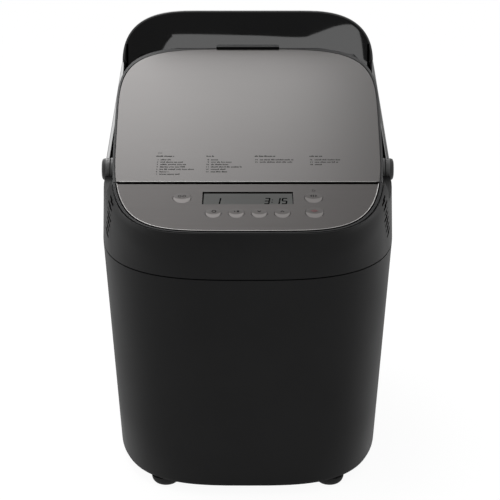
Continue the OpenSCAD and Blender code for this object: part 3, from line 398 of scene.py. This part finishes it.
# --- operators --------------------------------------------------------------------
class MACHINE_OT_finishes(bpy.types.Operator):
    """Gives every solid its finish and soft shading"""
    bl_idname = "machine.finishes"
    bl_label = "Finishes"

    def execute(self, context):
        finish = context.scene.machine_finish
        g = surface_groups()
        face = dict(metallic=1.0, spread=0.05, relief=0.10, depth=0.03, fineness=900.0, vary=0.02,
                    low=0.25, high=0.75)
        steel = dict(metallic=1.0, spread=0.06, relief=0.12, depth=0.03, fineness=900.0)
        finishes = {
            surface("housing_black", finish.housing_color, 0.5, g["grain"], level=0.07, relief=0.12):
                ["lower_housing", "upper_housing", "base_plate", "cord_gland"],
            surface("trim_black", finish.trim_color, 0.5, g["grain"], level=0.12, relief=0.05):
                ["panel_frame", "lid_shell"],
            surface("cap_grey", finish.cap_color, 0.45, g["grain"], level=0.3, relief=0.06):
                ["handle_pivot_caps"],
            surface("grey_plastic", (0.20, 0.20, 0.20), 0.5, g["grain"], level=0.4, relief=0.12):
                ["display_module", "key_switches", "board_bracket", "pan_coupling", "drive_coupling",
                 "large_pulley", "motor_pulley"],
            surface("metal_face", finish.face_color, 0.38, g["brushed"], **face):
                ["panel_plate", "lid_plate"],
            surface("key_metal", (0.061, 0.057, 0.0555), 0.40, g["brushed"], **{**face, "spread": 0.02}):
                ["menu_key", "clock_key", "size_key", "down_key", "up_key", "start_key", "stop_key"],
            surface("steel_sheet", (0.50, 0.50, 0.51), 0.34, g["brushed"], **steel):
                ["oven_liner", "liner_brackets", "chassis_plate", "lid_liner"],
            surface("steel_turned", (0.55, 0.55, 0.56), 0.25, g["turned"], **steel):
                ["base_screws", "lid_hinge_pins", "handle_pivot_pins", "temperature_sensor", "pan_bail",
                 "pan_bush", "pan_shaft", "drive_shaft", "motor_shaft"],
            surface("pan_coating", (0.035, 0.035, 0.036), 0.42, g["grain"], relief=0.2, spread=0.2):
                ["bread_pan", "kneading_blade"],
            surface("rubber_black", (0.012, 0.012, 0.012), 0.75, g["grain"], level=0.25, relief=0.25,
                    fineness=900.0): ["rubber_feet", "drive_belt"],
            surface("seal_grey", (0.05, 0.05, 0.05), 0.6, g["grain"], level=0.3, relief=0.1): ["lid_seal"],
            surface("handle_gloss", finish.handle_color, 0.022, g["gloss"], relief=0.0, vary=0.004):
                ["handle_bail"],
            surface("cast_metal", (0.30, 0.30, 0.31), 0.5, g["cast"], metallic=0.8, relief=0.3, depth=0.1):
                ["bearing_block"],
            surface("bronze", (0.40, 0.26, 0.12), 0.38, g["turned"], **steel): ["shaft_bushes"],
            surface("circuit_board", (0.02, 0.11, 0.045), 0.35, g["board"], spread=0.35, relief=0.2,
                    low=0.2, high=0.8): ["control_board", "power_board"],
            surface("heater_sheath", (0.06, 0.052, 0.048), 0.5, g["cast"], metallic=0.6, spread=0.25):
                ["heater_element"],
            surface("display_lens", (0.067, 0.0685, 0.0655), 0.2, g["gloss"], level=0.15, spread=0.03,
                    relief=0.002): ["display_window"],
            surface("lamp", (0.05, 0.04, 0.038), 0.3, g["gloss"], relief=0.01): ["start_lamp"],
            surface("motor_case", (0.10, 0.10, 0.105), 0.45, g["cast"], metallic=0.7, relief=0.1): ["motor"],
        }
        surface("metal_edge", (0.28, 0.272, 0.266), 0.32, g["brushed"], metallic=1.0, spread=0.03,
                relief=0.03)
        # Lighter than the keys' own metal: a painted highlight on the keys' sloping crescents.
        surface("key_facet_highlight", (0.106, 0.100, 0.098), 0.38, g["brushed"], **{**face, "spread": 0.02})
        # Black of the steam hood, also used as painted shade in the side vents.
        surface("hood_black_and_vent_shade", (0.006, 0.006, 0.006), 0.6, g["grain"], level=0.0)
        # Near-black for painted shade: the seam at the panel's back, the gap round its plate, the display's
        # recessed edges and the bow's grooves.
        surface("painted_shade_black", (0.001, 0.001, 0.001), 0.9, g["grain"], level=0.0)
        surface("display_ink", (0.002, 0.002, 0.002), 0.6, g["gloss"], level=0.0, spread=0.2)
        surface("face_print", finish.print_color, 0.6, g["gloss"], level=0.05, spread=0.2)
        surface("print_red", (0.11, 0.030, 0.034), 0.5, g["gloss"], level=0.2, spread=0.2)
        soft = soft_shading_group()
        for material, nodes in finishes.items():
            for node in nodes:
                paint(node, material)
                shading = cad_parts[node].modifiers.new("Soft shading", "NODES")
                shading.node_group = soft
        return {"FINISHED"}


def handle_outline(inset, y, count=24):
    """Closed outline of the bow in front view at an inset: straight sides, superelliptic upper
    corners and small lower corners, standing on the arms' lower line at depth y."""
    w, top = BOW_HALF - inset, BOW_TOP - inset
    rx, rz, n = 75.0 - inset, 57.0 - inset, 2.7
    low, rb = lid_z(y) - ARM_DROP + inset, max(3.0 - inset, 0.05)
    q = np.linspace(0.0, math.pi / 2, count)
    b = np.linspace(0.0, math.pi / 2, 5)
    up = np.linspace(low + rb, top - rz, 10)[1:-1]
    across = np.linspace(rb - w, w - rb, count)[1:-1]
    right_x = np.concatenate([(w - rb) + rb * np.sin(b), np.full_like(up, w),
                              w - rx + rx * raised(np.cos(q), n)])
    right_z = np.concatenate([low + rb - rb * np.cos(b), up, top - rz + rz * raised(np.sin(q), n)])
    return (np.concatenate([right_x, -right_x[::-1], across]),
            np.concatenate([right_z, right_z[::-1], np.full_like(across, low)]))


def bow_lean(y, z):
    """Depth of a point of the bow once its front leans back from the foot to the top."""
    return y + (z - LEVEL_Z) * BOW_LEAN * np.clip((BOW_BACK - y) / (BOW_BACK - BOW_FRONT), 0.0, 1.0)


def bow_point(x, z, out):
    """Point on the bow's leaning front: across, up, and forward of it."""
    return np.stack([x, bow_lean(BOW_FRONT, z) - out, z], axis=-1)


def handle_bow():
    """Bow: the outline at a series of insets and depths, from the middle of the web out over the
    rolled front edge, round the band, back along its inside, and in again behind the web."""
    arc = np.linspace(0.0, math.pi / 2, 7)
    edge = 1.5
    profile = [(20.0, BOW_FRONT), (8.0, BOW_FRONT), (3.5, BOW_FRONT)]
    profile += [(edge - edge * math.sin(a), BOW_FRONT + edge - edge * math.cos(a)) for a in arc]
    profile += [(0.0, 197.0)]
    profile += [(1.0 - math.cos(a), 203.0 + math.sin(a)) for a in arc]
    profile += [(2.6, BOW_BACK), (3.2, 203.4), (3.2, 195.0), (3.6, 193.7), (4.6, 193.2), (20.0, 193.2)]
    rings = []
    for inset, y in profile:
        x, z = handle_outline(inset, y)
        rings.append(np.stack([x, np.full_like(x, y), z], axis=-1))
    front, back = (ring * [0.0, 1.0, 0.0] + [0.0, 0.0, 320.0] for ring in (rings[0], rings[-1]))
    bow = np.stack([front, *rings, back], axis=1)
    bow[..., 1] = bow_lean(bow[..., 1], bow[..., 2])
    return bow


def handle_arm(side):
    """Arm: a rounded bar, a superellipse in section, carried up the lid's slope from the pivot."""
    a = np.linspace(0.0, 2 * math.pi, 49)[:-1]
    rise = ARM_TALL / math.cos(LID_TILT)
    y = np.array([-29.0, -28.9, 0.0, 60.0, 120.0, 180.0, 201.0, 203.0, 203.6])
    grow = np.array([0.0, 1.0, 1.0, 1.0, 1.0, 1.0, 1.0, 0.8, 0.0])
    x = side * 2.05 * raised(np.cos(a), 5.0)
    z = lid_z(y) - ARM_DROP + rise / 2
    return np.stack([
        side * 125.85 + x[None, :] * grow[:, None],
        np.broadcast_to(y[:, None], (len(y), len(a))),
        z[:, None] + rise / 2 * raised(np.sin(a), 7.0)[None, :] * grow[:, None]], axis=-1)


def turned(side, y, z, profile, count=72):
    """Turned piece about an X axis: a profile of (x, radius) revolved."""
    t = np.linspace(0.0, 2 * math.pi, count + 1)[:-1]
    p = np.asarray(profile, float)
    return np.stack([
        np.broadcast_to(side * p[:, 0, None], (len(p), count)),
        y + p[:, 1, None] * np.cos(t)[None, :], z + p[:, 1, None] * np.sin(t)[None, :]], axis=-1)


def edge_bead(place, x, u, radius, closed):
    """Rolled edge: a tube that follows a plate's edge (x, u), sunk into its corner by 0.7 of its
    radius both ways; an open one is closed by its end rings shrinking to a point."""
    a = np.linspace(0.0, 2 * math.pi, 13)[:-1]
    if closed:
        dx, du = np.roll(x, -1) - np.roll(x, 1), np.roll(u, -1) - np.roll(u, 1)
    else:
        dx, du = np.gradient(x), np.gradient(u)
    size = np.hypot(dx, du)
    nx, nu = du / size, -dx / size
    turn = np.sign(np.sum(nx * (x - x.mean()) + nu * (u - u.max() - 1.0)))
    grow = np.ones(len(x))
    if not closed:
        grow[[0, -1]] = 0.0
    off = -0.7 * radius + grow[:, None] * radius * np.cos(a)[None, :]
    lift = -0.7 * radius + grow[:, None] * radius * np.sin(a)[None, :]
    return place(x[:, None] + turn * nx[:, None] * off, u[:, None] + turn * nu[:, None] * off, lift)


class MACHINE_OT_edges(bpy.types.Operator):
    """Rolls the metal's edges, and adds the painted shade at the panel's joints and in the side vents, the
    feet and the hood
    """
    bl_idname = "machine.edges"
    bl_label = "Metal edges"

    def execute(self, context):
        radius = context.scene.machine_marks.edge_round / MM
        x, y = face_outline(np.linspace(math.pi, 2 * math.pi, 1201))
        keep = y < PANEL_BACK_Y - 0.9
        u = (y[keep] - FACE_Y0) / math.cos(PANEL_TILT)
        panel = (edge_bead(panel_point, x[keep], u, radius, False), False, True)
        dressed(add_mesh("panel_edge", *join_grids([panel])), "metal_edge", "housing")
        half = x[keep].max() - 0.5
        # Painted shade: a near-black bar over the panel's back edge, where the joint to the lid falls in
        # shade.
        joint = bar(-half, PANEL_LEN - JOINT_W - 0.05, 2 * half, JOINT_W)
        gap = strokes("panel_gap_shade", panel_point, [joint], -0.7, 0.06)
        dressed(gap, "painted_shade_black", "housing")
        # Painted shade: a near-black ribbon round the panel's plate, where the gap at its edge falls in
        # shade.
        t = np.linspace(math.pi, 2 * math.pi, 1201)[keep]
        lines = [face_outline(t, out) for out in (0.25, 1.0 + 0.9 * np.sin(t) ** 4)]
        ribbon = np.stack([panel_point(x, (y - FACE_Y0) / math.cos(PANEL_TILT), np.full_like(x, out))
                           for (x, y), out in ((lines[0], 0.26), (lines[1], 0.26),
                                               (lines[1], -0.5), (lines[0], -0.5))], axis=1)
        ends = ribbon[[0, -1]].mean(axis=1, keepdims=True).repeat(4, axis=1)
        ribbon = np.concatenate([ends[:1], ribbon, ends[1:]])
        edge_shade = add_mesh("panel_edge_shade", *join_grids([(ribbon, False, True)]))
        dressed(edge_shade, "painted_shade_black", "housing")
        front = np.full(121, 1.6 / math.cos(LID_TILT))
        across = np.linspace(-half, half, 121)
        lid = (edge_bead(lid_point, across, front, radius, False), False, True)
        dressed(add_mesh("lid_edge", *join_grids([lid])), "metal_edge", "lid")
        box = [np.array(corner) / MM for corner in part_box("rubber_feet")]
        feet = [(foot_bowl(sx * (box[1][0] - FOOT_R), sy * (box[1][1] - FOOT_R)), False, True)
                for sx in (-1.0, 1.0) for sy in (-1.0, 1.0)]
        bowls = add_mesh("foot_bowls", *join_grids(feet))
        dressed(bowls, "rubber_black", "housing")
        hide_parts("rubber_feet")
        # Painted shade: near-black prisms in the side vents, where the slots' insides fall in shade.
        shade_prisms = add_mesh("vent_painted_shade", *vent_painted_shade())
        dressed(shade_prisms, "hood_black_and_vent_shade", "housing")
        hood = add_mesh("steam_hood", *join_grids([(hood_cover(), True, False)]))
        dressed(hood, "hood_black_and_vent_shade", "lid")
        return {"FINISHED"}


def foot_bowl(x, y):
    """Foot: a quarter ellipse revolved about a vertical axis, wide under the base and round below."""
    t = np.linspace(0.0, 2 * math.pi, 73)[:-1]
    a = np.linspace(0.0, math.pi / 2, 13)
    radius = np.concatenate([[0.0], 5.0 + 7.4 * np.sin(a), [0.0]])
    height = np.concatenate([[0.0], 7.9 * (1.0 - np.cos(a)), [7.9]])
    return np.stack([x + radius[:, None] * np.cos(t), y + radius[:, None] * np.sin(t),
                     np.broadcast_to(height[:, None], (len(height), len(t)))], axis=-1)


def vent_painted_shade():
    """Painted shade in the side vents: dark parallelograms at the slots' steps, carried back round the
    side, on a polynomial of fifth degree fitted to the moulding's surface x(y, z) and 2.5 deep."""
    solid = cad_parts["upper_housing"]
    yy, zz = np.meshgrid(np.arange(-156.0, -104.0, 2.0), np.arange(200.0, 254.0, 2.0))
    yy, zz = yy.ravel(), zz.ravel()
    found = [solid.ray_cast(Vector((0.2, y * MM, z * MM)), Vector((-1.0, 0.0, 0.0)))
             for y, z in zip(yy, zz)]
    x = np.array([place[0] / MM if hit else 0.0 for hit, place, _, _ in found])

    def terms(y, z):
        powers = [((y + 130) / 30) ** i * ((z - 225) / 30) ** j for i in range(6) for j in range(6 - i)]
        return np.stack(powers, axis=-1)

    rows = terms(yy, zz)
    keep = x > 95.0
    for limit in (3.0, 1.0, 0.4, 0.25):
        fit = np.linalg.lstsq(rows[keep], x[keep], rcond=None)[0]
        keep = np.abs(rows @ fit - x) < limit
    slope = math.tan(PANEL_TILT)
    corners = np.array([(-3.0, -0.95), (4.6, -0.95), (4.6, 0.95), (-3.0, 0.95)])
    corners[:, 1] += slope * corners[:, 0]
    steps = np.arange(7)[:, None] * VENT_STEP
    middle = np.concatenate([steps, steps + 3.0]) + [VENT_Y, PANEL_Z0 + VENT_RISE]
    yz = middle[:, None, :] + corners[None, :, :]
    top = terms(yz[..., 0], yz[..., 1]) @ fit + 0.2
    deep, flush = (np.concatenate([[side * (top - depth)] for side in (-1.0, 1.0)]) for depth in (2.5, 0.0))
    both = np.broadcast_to(yz, (2, *yz.shape))
    shade_prisms = [np.concatenate([x[..., None], both], axis=-1) for x in (deep, flush)]
    return prisms(np.concatenate(shade_prisms, axis=2).reshape(-1, 8, 3))


def hood_cover():
    """Cover of the lid's steam outlet: a bar with rounded ends whose upper edge is rounded too."""
    t = np.linspace(0.0, 2 * math.pi, 65)[:-1]
    rings = []
    for inset, out in ((9.0, -1.0), (0.0, -1.0), (0.0, 1.0), (0.3, 1.45), (0.8, 1.6), (9.0, 1.62)):
        width = max(HOOD_R - inset, 0.0)
        x = np.sign(np.cos(t)) * HOOD_HALF + width * np.cos(t)
        rings.append(lid_point(x, HOOD_U + width * np.sin(t), np.full_like(x, out)))
    return np.stack(rings, axis=1)


def dressed(obj, material, body):
    """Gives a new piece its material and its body."""
    obj.data.materials.append(bpy.data.materials[material])
    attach(obj, body)
    return obj


class MACHINE_OT_handle(bpy.types.Operator):
    """Builds the carrying handle: bow, arms, pivot bosses and the sleeves they turn against"""
    bl_idname = "machine.handle"
    bl_label = "Handle"

    def execute(self, context):
        pivot_z = lid_z(PIVOT_Y) - PIVOT_DROP
        sides = (-1.0, 1.0)
        parts = [(handle_bow(), True, False)] + [(handle_arm(side), False, True) for side in sides]
        handle = add_mesh("carrying_handle", *join_grids(parts), 40.0)
        dressed(handle, "handle_gloss", "handle")
        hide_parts("handle_bail")
        boss = [(123.9, 0.0), (123.9, 9.6), (124.2, 9.95), (127.9, 9.95), (127.9, 0.0)]
        bosses = join_grids([(turned(side, PIVOT_Y, pivot_z, boss), False, True) for side in sides])
        dressed(add_mesh("pivot_bosses", *bosses), "cap_grey", "handle")
        sleeve = [(121.0, 9.6), (121.0, 9.9), (121.3, 10.2), (123.1, 10.2), (123.4, 9.9), (123.4, 9.6)]
        sleeves = join_grids([(turned(side, PIVOT_Y, pivot_z, sleeve), True, True) for side in sides])
        dressed(add_mesh("pivot_sleeves", *sleeves), "cap_grey", "housing")
        # Painted shade: near-black strips on the bow's front, where its grooves fall in shade.
        groove_shade_bars = [bar(x, 299.5, 2.3, 27.5) for x in (-123.8, 121.5)]
        shadow = strokes("handle_groove_shades", bow_point, groove_shade_bars, -1.0, 0.03)
        dressed(shadow, "painted_shade_black", "handle")
        return {"FINISHED"}


class MACHINE_OT_display(bpy.types.Operator):
    """Draws the display's digits and a painted shadow along the top and sides of its glass"""
    bl_idname = "machine.display"
    bl_label = "Display"

    def execute(self, context):
        height = context.scene.machine_marks.digit_height / MM
        u0, width, line = 41.1, 5.0, 1.25
        quads = []
        for mark, x in (("1", -28.0), ("3", 13.0), ("1", 21.6), ("5", 27.6)):
            quads += digit(mark, x, u0, width, height, line)
        quads += [bar(19.7, u0 + 2.4, 1.0, 1.0), bar(20.1, u0 + 6.0, 1.0, 1.0)]
        digits = strokes("display_digits", panel_point, quads, -0.35, -0.24)
        dressed(digits, "display_ink", "housing")
        # Painted shadow: near-black bars along the glass's top and sides, where its recessed edges fall in
        # shade.
        w, h, mid = DISPLAY_W / 2 + 0.2, DISPLAY_H / 2 + 0.2, DISPLAY_U
        rim = [[(-w, mid + h - 2.2), (w, mid + h - 2.2), (w, mid + h), (-w, mid + h)],
               [(-w, mid - h), (1.0 - w, mid - h), (1.3 - w, mid + h - 2.2), (-w, mid + h - 2.2)],
               [(w - 0.5, mid - h), (w, mid - h), (w, mid + h - 2.2), (w - 0.8, mid + h - 2.2)]]
        step = strokes("display_step_shadow", panel_point, rim, -0.36, -0.2)
        dressed(step, "painted_shade_black", "housing")
        return {"FINISHED"}


def ring(x, u, radius, line, parts=14):
    """Quads of a ring of a line's width."""
    t = np.linspace(0.0, 2 * math.pi, parts + 1)
    c, s = np.cos(t), np.sin(t)
    inner, outer = radius - line / 2, radius + line / 2
    return [[(x + inner * c[i], u + inner * s[i]), (x + outer * c[i], u + outer * s[i]),
             (x + outer * c[i + 1], u + outer * s[i + 1]), (x + inner * c[i + 1], u + inner * s[i + 1])]
            for i in range(parts)]


def stroke(x0, u0, x1, u1, line):
    """Quad of a straight stroke between two points."""
    length = math.hypot(x1 - x0, u1 - u0)
    nx, nu = -(u1 - u0) / length * line / 2, (x1 - x0) / length * line / 2
    return [(x0 + nx, u0 + nu), (x0 - nx, u0 - nu), (x1 - nx, u1 - nu), (x1 + nx, u1 + nu)]


def key_facet_highlight(x, u, radius):
    """Crescent on a key's sloping front half: between the key's front arc and a shallower parabola
    that meets it at both ends, 0.1 thick."""
    reach = radius - 0.25
    t = np.linspace(math.pi - 0.08, 2 * math.pi + 0.08, 49)
    px, front = reach * np.cos(t), reach * np.sin(t)
    back = front[0] - 2.5 * (1.0 - (px / px[0]) ** 2)
    rings = []
    for qu, lift in ((front, 0.0), (front, 0.1), (back, 0.1), (back, 0.0)):
        slope = np.minimum(qu, 0.0) * math.tan(math.radians(8.0))
        rings.append(panel_point(x + px, u + qu, 0.32 + slope + lift))
    return np.stack(rings, axis=1)


class MACHINE_OT_symbols(bpy.types.Operator):
    """Draws each key's small symbol on its upper half"""
    bl_idname = "machine.symbols"
    bl_label = "Key symbols"

    def execute(self, context):
        up = 2.3
        symbols = {
            "menu": (-55.0, DISPLAY_U, ring(-1.9, up, 1.3, 0.6) + ring(1.9, up, 1.3, 0.6)),
            "clock": (-28.5, 26.5, ring(0.6, up, 1.6, 0.75)),
            "size": (-9.5, 26.5, [bar(-1.8, up - 0.8, 1.0, 1.5), bar(0.5, up - 1.2, 1.9, 2.4)]),
            "down": (9.5, 26.5, [stroke(-1.4, up + 0.9, 0.0, up - 1.0, 0.8),
                                 stroke(0.0, up - 1.0, 1.4, up + 0.9, 0.8)]),
            "up": (28.5, 26.5, [stroke(-1.4, up - 1.0, 0.0, up + 0.9, 0.8),
                                stroke(0.0, up + 0.9, 1.4, up - 1.0, 0.8)]),
            "start": (55.0, START_U, [stroke(-2.6, up, -1.2, up + 1.3, 0.7),
                                      stroke(-2.6, up, -1.2, up - 1.3, 0.7),
                                      bar(-0.35, up - 1.7, 0.7, 3.4),
                                      stroke(2.6, up, 1.2, up + 1.3, 0.7),
                                      stroke(2.6, up, 1.2, up - 1.3, 0.7)]),
            "stop": (55.0, 27.3, ring(0.0, up, 1.6, 0.8) + [stroke(-3.2, up, 3.2, up, 1.0)]),
        }
        for key, (x, u, quads) in symbols.items():
            placed = [[(x + a, u + b) for a, b in q] for q in quads]
            mark = strokes(key + "_symbol", panel_point, placed, 0.3, 0.4)
            dressed(mark, "print_red" if key == "stop" else "face_print", key + "_key_body")
            radius = 7.5 if abs(x) > 50.0 else 6.5
            # The crescent's lighter metal is a painted highlight.
            facet = add_mesh(key + "_facet", *join_grids([(key_facet_highlight(x, u, radius), False, True)]))
            dressed(facet, "key_facet_highlight", key + "_key_body")
        return {"FINISHED"}


def greeked(x, u, width, height, line, rng):
    """Word-like marks along a line: runs of narrow letters, each two or three short strokes."""
    quads, end = [], x + width
    while x < end - 1.0:
        for _ in range(int(rng.integers(3, 8))):
            if x > end - 0.8:
                break
            tall = height * (1.0 if rng.random() < 0.25 else 0.72)
            wide = float(rng.uniform(0.55, 0.85))
            quads.append(bar(x, u, 1.2 * line, tall))
            quads.append(bar(x, u + (tall - line if rng.random() < 0.5 else 0.4 * tall), wide, line))
            if rng.random() < 0.6:
                quads.append(bar(x + wide - line, u, line, 0.7 * tall))
            x += wide + 0.32
        x += 0.75
    return quads


class MACHINE_OT_print(bpy.types.Operator):
    """Prints the numbered programme columns on the lid"""
    bl_idname = "machine.print"
    bl_label = "Lid print"

    def execute(self, context):
        pitch = context.scene.machine_marks.line_pitch / MM
        rng = np.random.default_rng(7)
        quads = greeked(-78.6, 56.2, 4.5, 1.6, 0.4, rng)
        top = 49.4
        columns = [(-80.0, 16.5, 1, [9.4, 19.4, 22.5, 22.5, 31.1, 8.3, 17.9]),
                   (-36.1, 7.5, 8, [7.5, 18.0, 16.8, 27.5, 13.4, 16.0]),
                   (6.2, 18.5, 14, [29.6, 28.4]), (53.8, 11.5, 16, [23.2, 21.4, 8.0])]
        for x, heading, first, lengths in columns:
            quads += greeked(x, top, heading, 2.4, 0.7, rng)
            for row, length in enumerate(lengths):
                u = top - 6.9 - row * pitch
                for place, mark in enumerate(str(first + row).rjust(2)):
                    if mark != " ":
                        quads += digit(mark, x - 0.2 + 1.5 * place, u, 1.1, 2.2, 0.6, 0.0)
                quads += greeked(x + 4.3, u, length, 2.4, 0.62, rng)
        marks = strokes("lid_print", lid_point, quads, -0.02, 0.03)
        dressed(marks, "face_print", "lid")
        return {"FINISHED"}


def smooth_path(points, steps=8):
    """Closed curve through points (Catmull-Rom), as a dense list."""
    p = np.asarray(points, float)
    t = np.linspace(0.0, 1.0, steps, endpoint=False)[None, :, None]
    a, b, c, d = (np.roll(p, k, axis=0)[:, None, :] for k in (1, 0, -1, -2))
    curve = 0.5 * (2 * b + (c - a) * t + (2 * a - 5 * b + 4 * c - d) * t ** 2
                   + (3 * b - a - 3 * c + d) * t ** 3)
    return curve.reshape(-1, 2)


def soft_lamp(name, place, target, size, power):
    """Rectangular soft light aimed at a point."""
    data = bpy.data.lights.new(name, "AREA")
    data.shape, data.energy = "RECTANGLE", power
    data.size, data.size_y = size
    lamp = bpy.data.objects.new(name, data)
    lamp.location = place
    lamp.rotation_euler = (Vector(target) - Vector(place)).to_track_quat("-Z", "Y").to_euler()
    lamp.visible_camera = False
    bpy.context.scene.collection.objects.link(lamp)


def mirrored(outline, eye, depth):
    """Where the sight lines to points (x, z) of the bow's leaning front go on to, at a depth in front."""
    x, z = outline[:, 0], outline[:, 1]
    place = bow_point(x, z, 0.0)
    normal = np.array([0.0, -1.0, BOW_LEAN]) / math.hypot(1.0, BOW_LEAN)
    ray = place - eye
    ray = ray - 2.0 * (ray @ normal)[:, None] * normal
    hit = place + ray * ((depth - place[:, 1]) / ray[:, 1])[:, None]
    return hit[:, [0, 2]]


def reflection_card(name, outline, depth, material):
    """Flat card in front of the machine that only reflections see."""
    points = [(x, depth, z) for x, z in outline]
    card = add_mesh(name, points, [range(len(points))])
    card.data.materials.append(material)
    card.visible_camera = card.visible_diffuse = card.visible_shadow = False
    card.visible_transmission = card.visible_volume_scatter = False


class MACHINE_OT_stage(bpy.types.Operator):
    """Sets the floor, the surroundings, the lights, the reflection cards and the camera"""
    bl_idname = "machine.stage"
    bl_label = "Stage"

    def execute(self, context):
        stage = context.scene.machine_stage
        scene = context.scene
        scene.view_settings.view_transform = "Standard"

        def seen_directly(tree):
            """Camera, glossy and transmission rays as one mask."""
            paths = tree.nodes.new("ShaderNodeLightPath")
            first = paths.outputs["Is Camera Ray"]
            for label in ("Is Glossy Ray", "Is Transmission Ray"):
                both = tree.nodes.new("ShaderNodeMath")
                both.operation = "MAXIMUM"
                tree.links.new(first, both.inputs[0])
                tree.links.new(paths.outputs[label], both.inputs[1])
                first = both.outputs[0]
            return first

        world = bpy.data.worlds.new("surroundings")
        scene.world = world
        world.use_nodes = True
        tree = world.node_tree
        level = tree.nodes.new("ShaderNodeMapRange")
        direction = tree.nodes.new("ShaderNodeSeparateXYZ")
        tree.links.new(tree.nodes.new("ShaderNodeTexCoord").outputs["Generated"], direction.inputs["Vector"])
        sides = tree.nodes.new("ShaderNodeMapRange")
        for label, value in (("From Min", -1.0), ("From Max", 1.0), ("To Min", 1.15 * stage.fill_level),
                             ("To Max", 0.55 * stage.fill_level)):
            sides.inputs[label].default_value = value
        tree.links.new(direction.outputs["X"], sides.inputs["Value"])
        tree.links.new(sides.outputs["Result"], level.inputs["To Min"])
        level.inputs["To Max"].default_value = 1.0
        tree.links.new(seen_directly(tree), level.inputs["Value"])
        tree.links.new(level.outputs["Result"], tree.nodes["Background"].inputs["Strength"])
        tree.nodes["Background"].inputs["Color"].default_value = (1.0, 1.0, 1.0, 1.0)

        floor = add_mesh("floor", [(-6000, -6000, 0), (6000, -6000, 0), (6000, 6000, 0), (-6000, 6000, 0)],
                         [(0, 1, 2, 3)])
        material = surface("floor_white", stage.floor_color, 0.9, bpy.data.node_groups["Grain"], level=0.0,
                           spread=0.01, relief=0.02)
        tree = material.node_tree
        light = tree.nodes.new("ShaderNodeEmission")
        light.inputs["Strength"].default_value = 1.09
        share = tree.nodes.new("ShaderNodeMath")
        share.operation = "MULTIPLY"
        share.inputs[1].default_value = 0.86
        blend = tree.nodes.new("ShaderNodeMixShader")
        tree.links.new(seen_directly(tree), share.inputs[0])
        tree.links.new(share.outputs[0], blend.inputs["Fac"])
        tree.links.new(tree.nodes["Principled BSDF"].outputs["BSDF"], blend.inputs[1])
        tree.links.new(light.outputs["Emission"], blend.inputs[2])
        tree.links.new(blend.outputs["Shader"], tree.nodes["Material Output"].inputs["Surface"])
        floor.data.materials.append(material)

        soft_lamp("key", (-0.35, 0.15, 1.7), (0.0, -0.1, 0.25), (0.8, 0.8), stage.key_power)
        soft_lamp("back", (-0.12, 0.72, 0.76), (-0.05, 0.08, 0.3), (0.5, 0.4), stage.back_power)
        soft_lamp("rim", (-0.25, 0.50, 0.70), (-0.05, 0.08, 0.3), (0.4, 0.3), 0.2 * stage.back_power)

        # The bow is a mirror to these: a dark card, and before it a bright one whose image ends
        # short of the bow's edge.
        eye = (0.0, -CAMERA_DISTANCE * math.cos(CAMERA_ELEVATION),
               CAMERA_TARGET_Z + CAMERA_DISTANCE * math.sin(CAMERA_ELEVATION))
        image = [(-92.0, 300.0), (-85.6, 322.5), (-77.3, 333.9), (-68.9, 336.7), (5.6, 335.4), (53.2, 333.7),
                 (67.7, 337.1), (88.3, 344.3), (102.7, 346.4), (111.0, 343.3), (115.4, 330.9),
                 (117.8, 312.0), (119.0, 300.0)]
        bright = mirrored(smooth_path(image), np.array(eye) / MM, CARD_Y)
        dark = [(-230.0, 200.0), (230.0, 200.0), (230.0, 560.0), (-230.0, 560.0)]
        reflection_card("dark_card", dark, CARD_Y - 0.5, glow("card_dark", (1.0, 1.0, 1.0), 0.17))
        reflection_card("bright_card", bright, CARD_Y, glow("card_bright", (1.0, 1.0, 1.0), 2.6))

        data = bpy.data.cameras.new("view")
        data.sensor_width, data.lens = 36.0, 123.0
        data.shift_x, data.shift_y = 0.0045, -0.0363
        data.clip_start, data.clip_end = 0.05, 50.0
        camera = bpy.data.objects.new("view", data)
        camera.location = eye
        camera.rotation_euler = (math.pi / 2 - CAMERA_ELEVATION, 0.0, 0.0)
        scene.collection.objects.link(camera)
        scene.camera = camera
        return {"FINISHED"}


class MACHINE_PT_panel(bpy.types.Panel):
    """Lists the machine's building steps and settings"""
    bl_idname = "MACHINE_PT_panel"
    bl_label = "Bread machine"
    bl_space_type = "VIEW_3D"
    bl_region_type = "UI"
    bl_category = "Machine"

    def draw(self, context):
        for step in STEPS:
            self.layout.operator(step.bl_idname)
        for group in GROUPS:
            values = getattr(context.scene, group)
            for name in values.__annotations__:
                self.layout.prop(values, name)


STEPS = (MACHINE_OT_finishes, MACHINE_OT_edges, MACHINE_OT_handle, MACHINE_OT_display, MACHINE_OT_symbols,
         MACHINE_OT_print, MACHINE_OT_stage)
GROUPS = {"machine_finish": MachineFinish, "machine_marks": MachineMarks, "machine_stage": MachineStage}


def register():
    for cls in (*GROUPS.values(), *STEPS, MACHINE_PT_panel):
        bpy.utils.register_class(cls)
    for name, cls in GROUPS.items():
        setattr(bpy.types.Scene, name, bpy.props.PointerProperty(type=cls))


def unregister():
    for name in GROUPS:
        delattr(bpy.types.Scene, name)
    for cls in reversed((*GROUPS.values(), *STEPS, MACHINE_PT_panel)):
        bpy.utils.unregister_class(cls)


def main():
    """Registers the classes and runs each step."""
    register()
    bpy.ops.machine.finishes()
    bpy.ops.machine.edges()
    bpy.ops.machine.handle()
    bpy.ops.machine.display()
    bpy.ops.machine.symbols()
    bpy.ops.machine.print()
    bpy.ops.machine.stage()


if __name__ == "__main__":
    main()
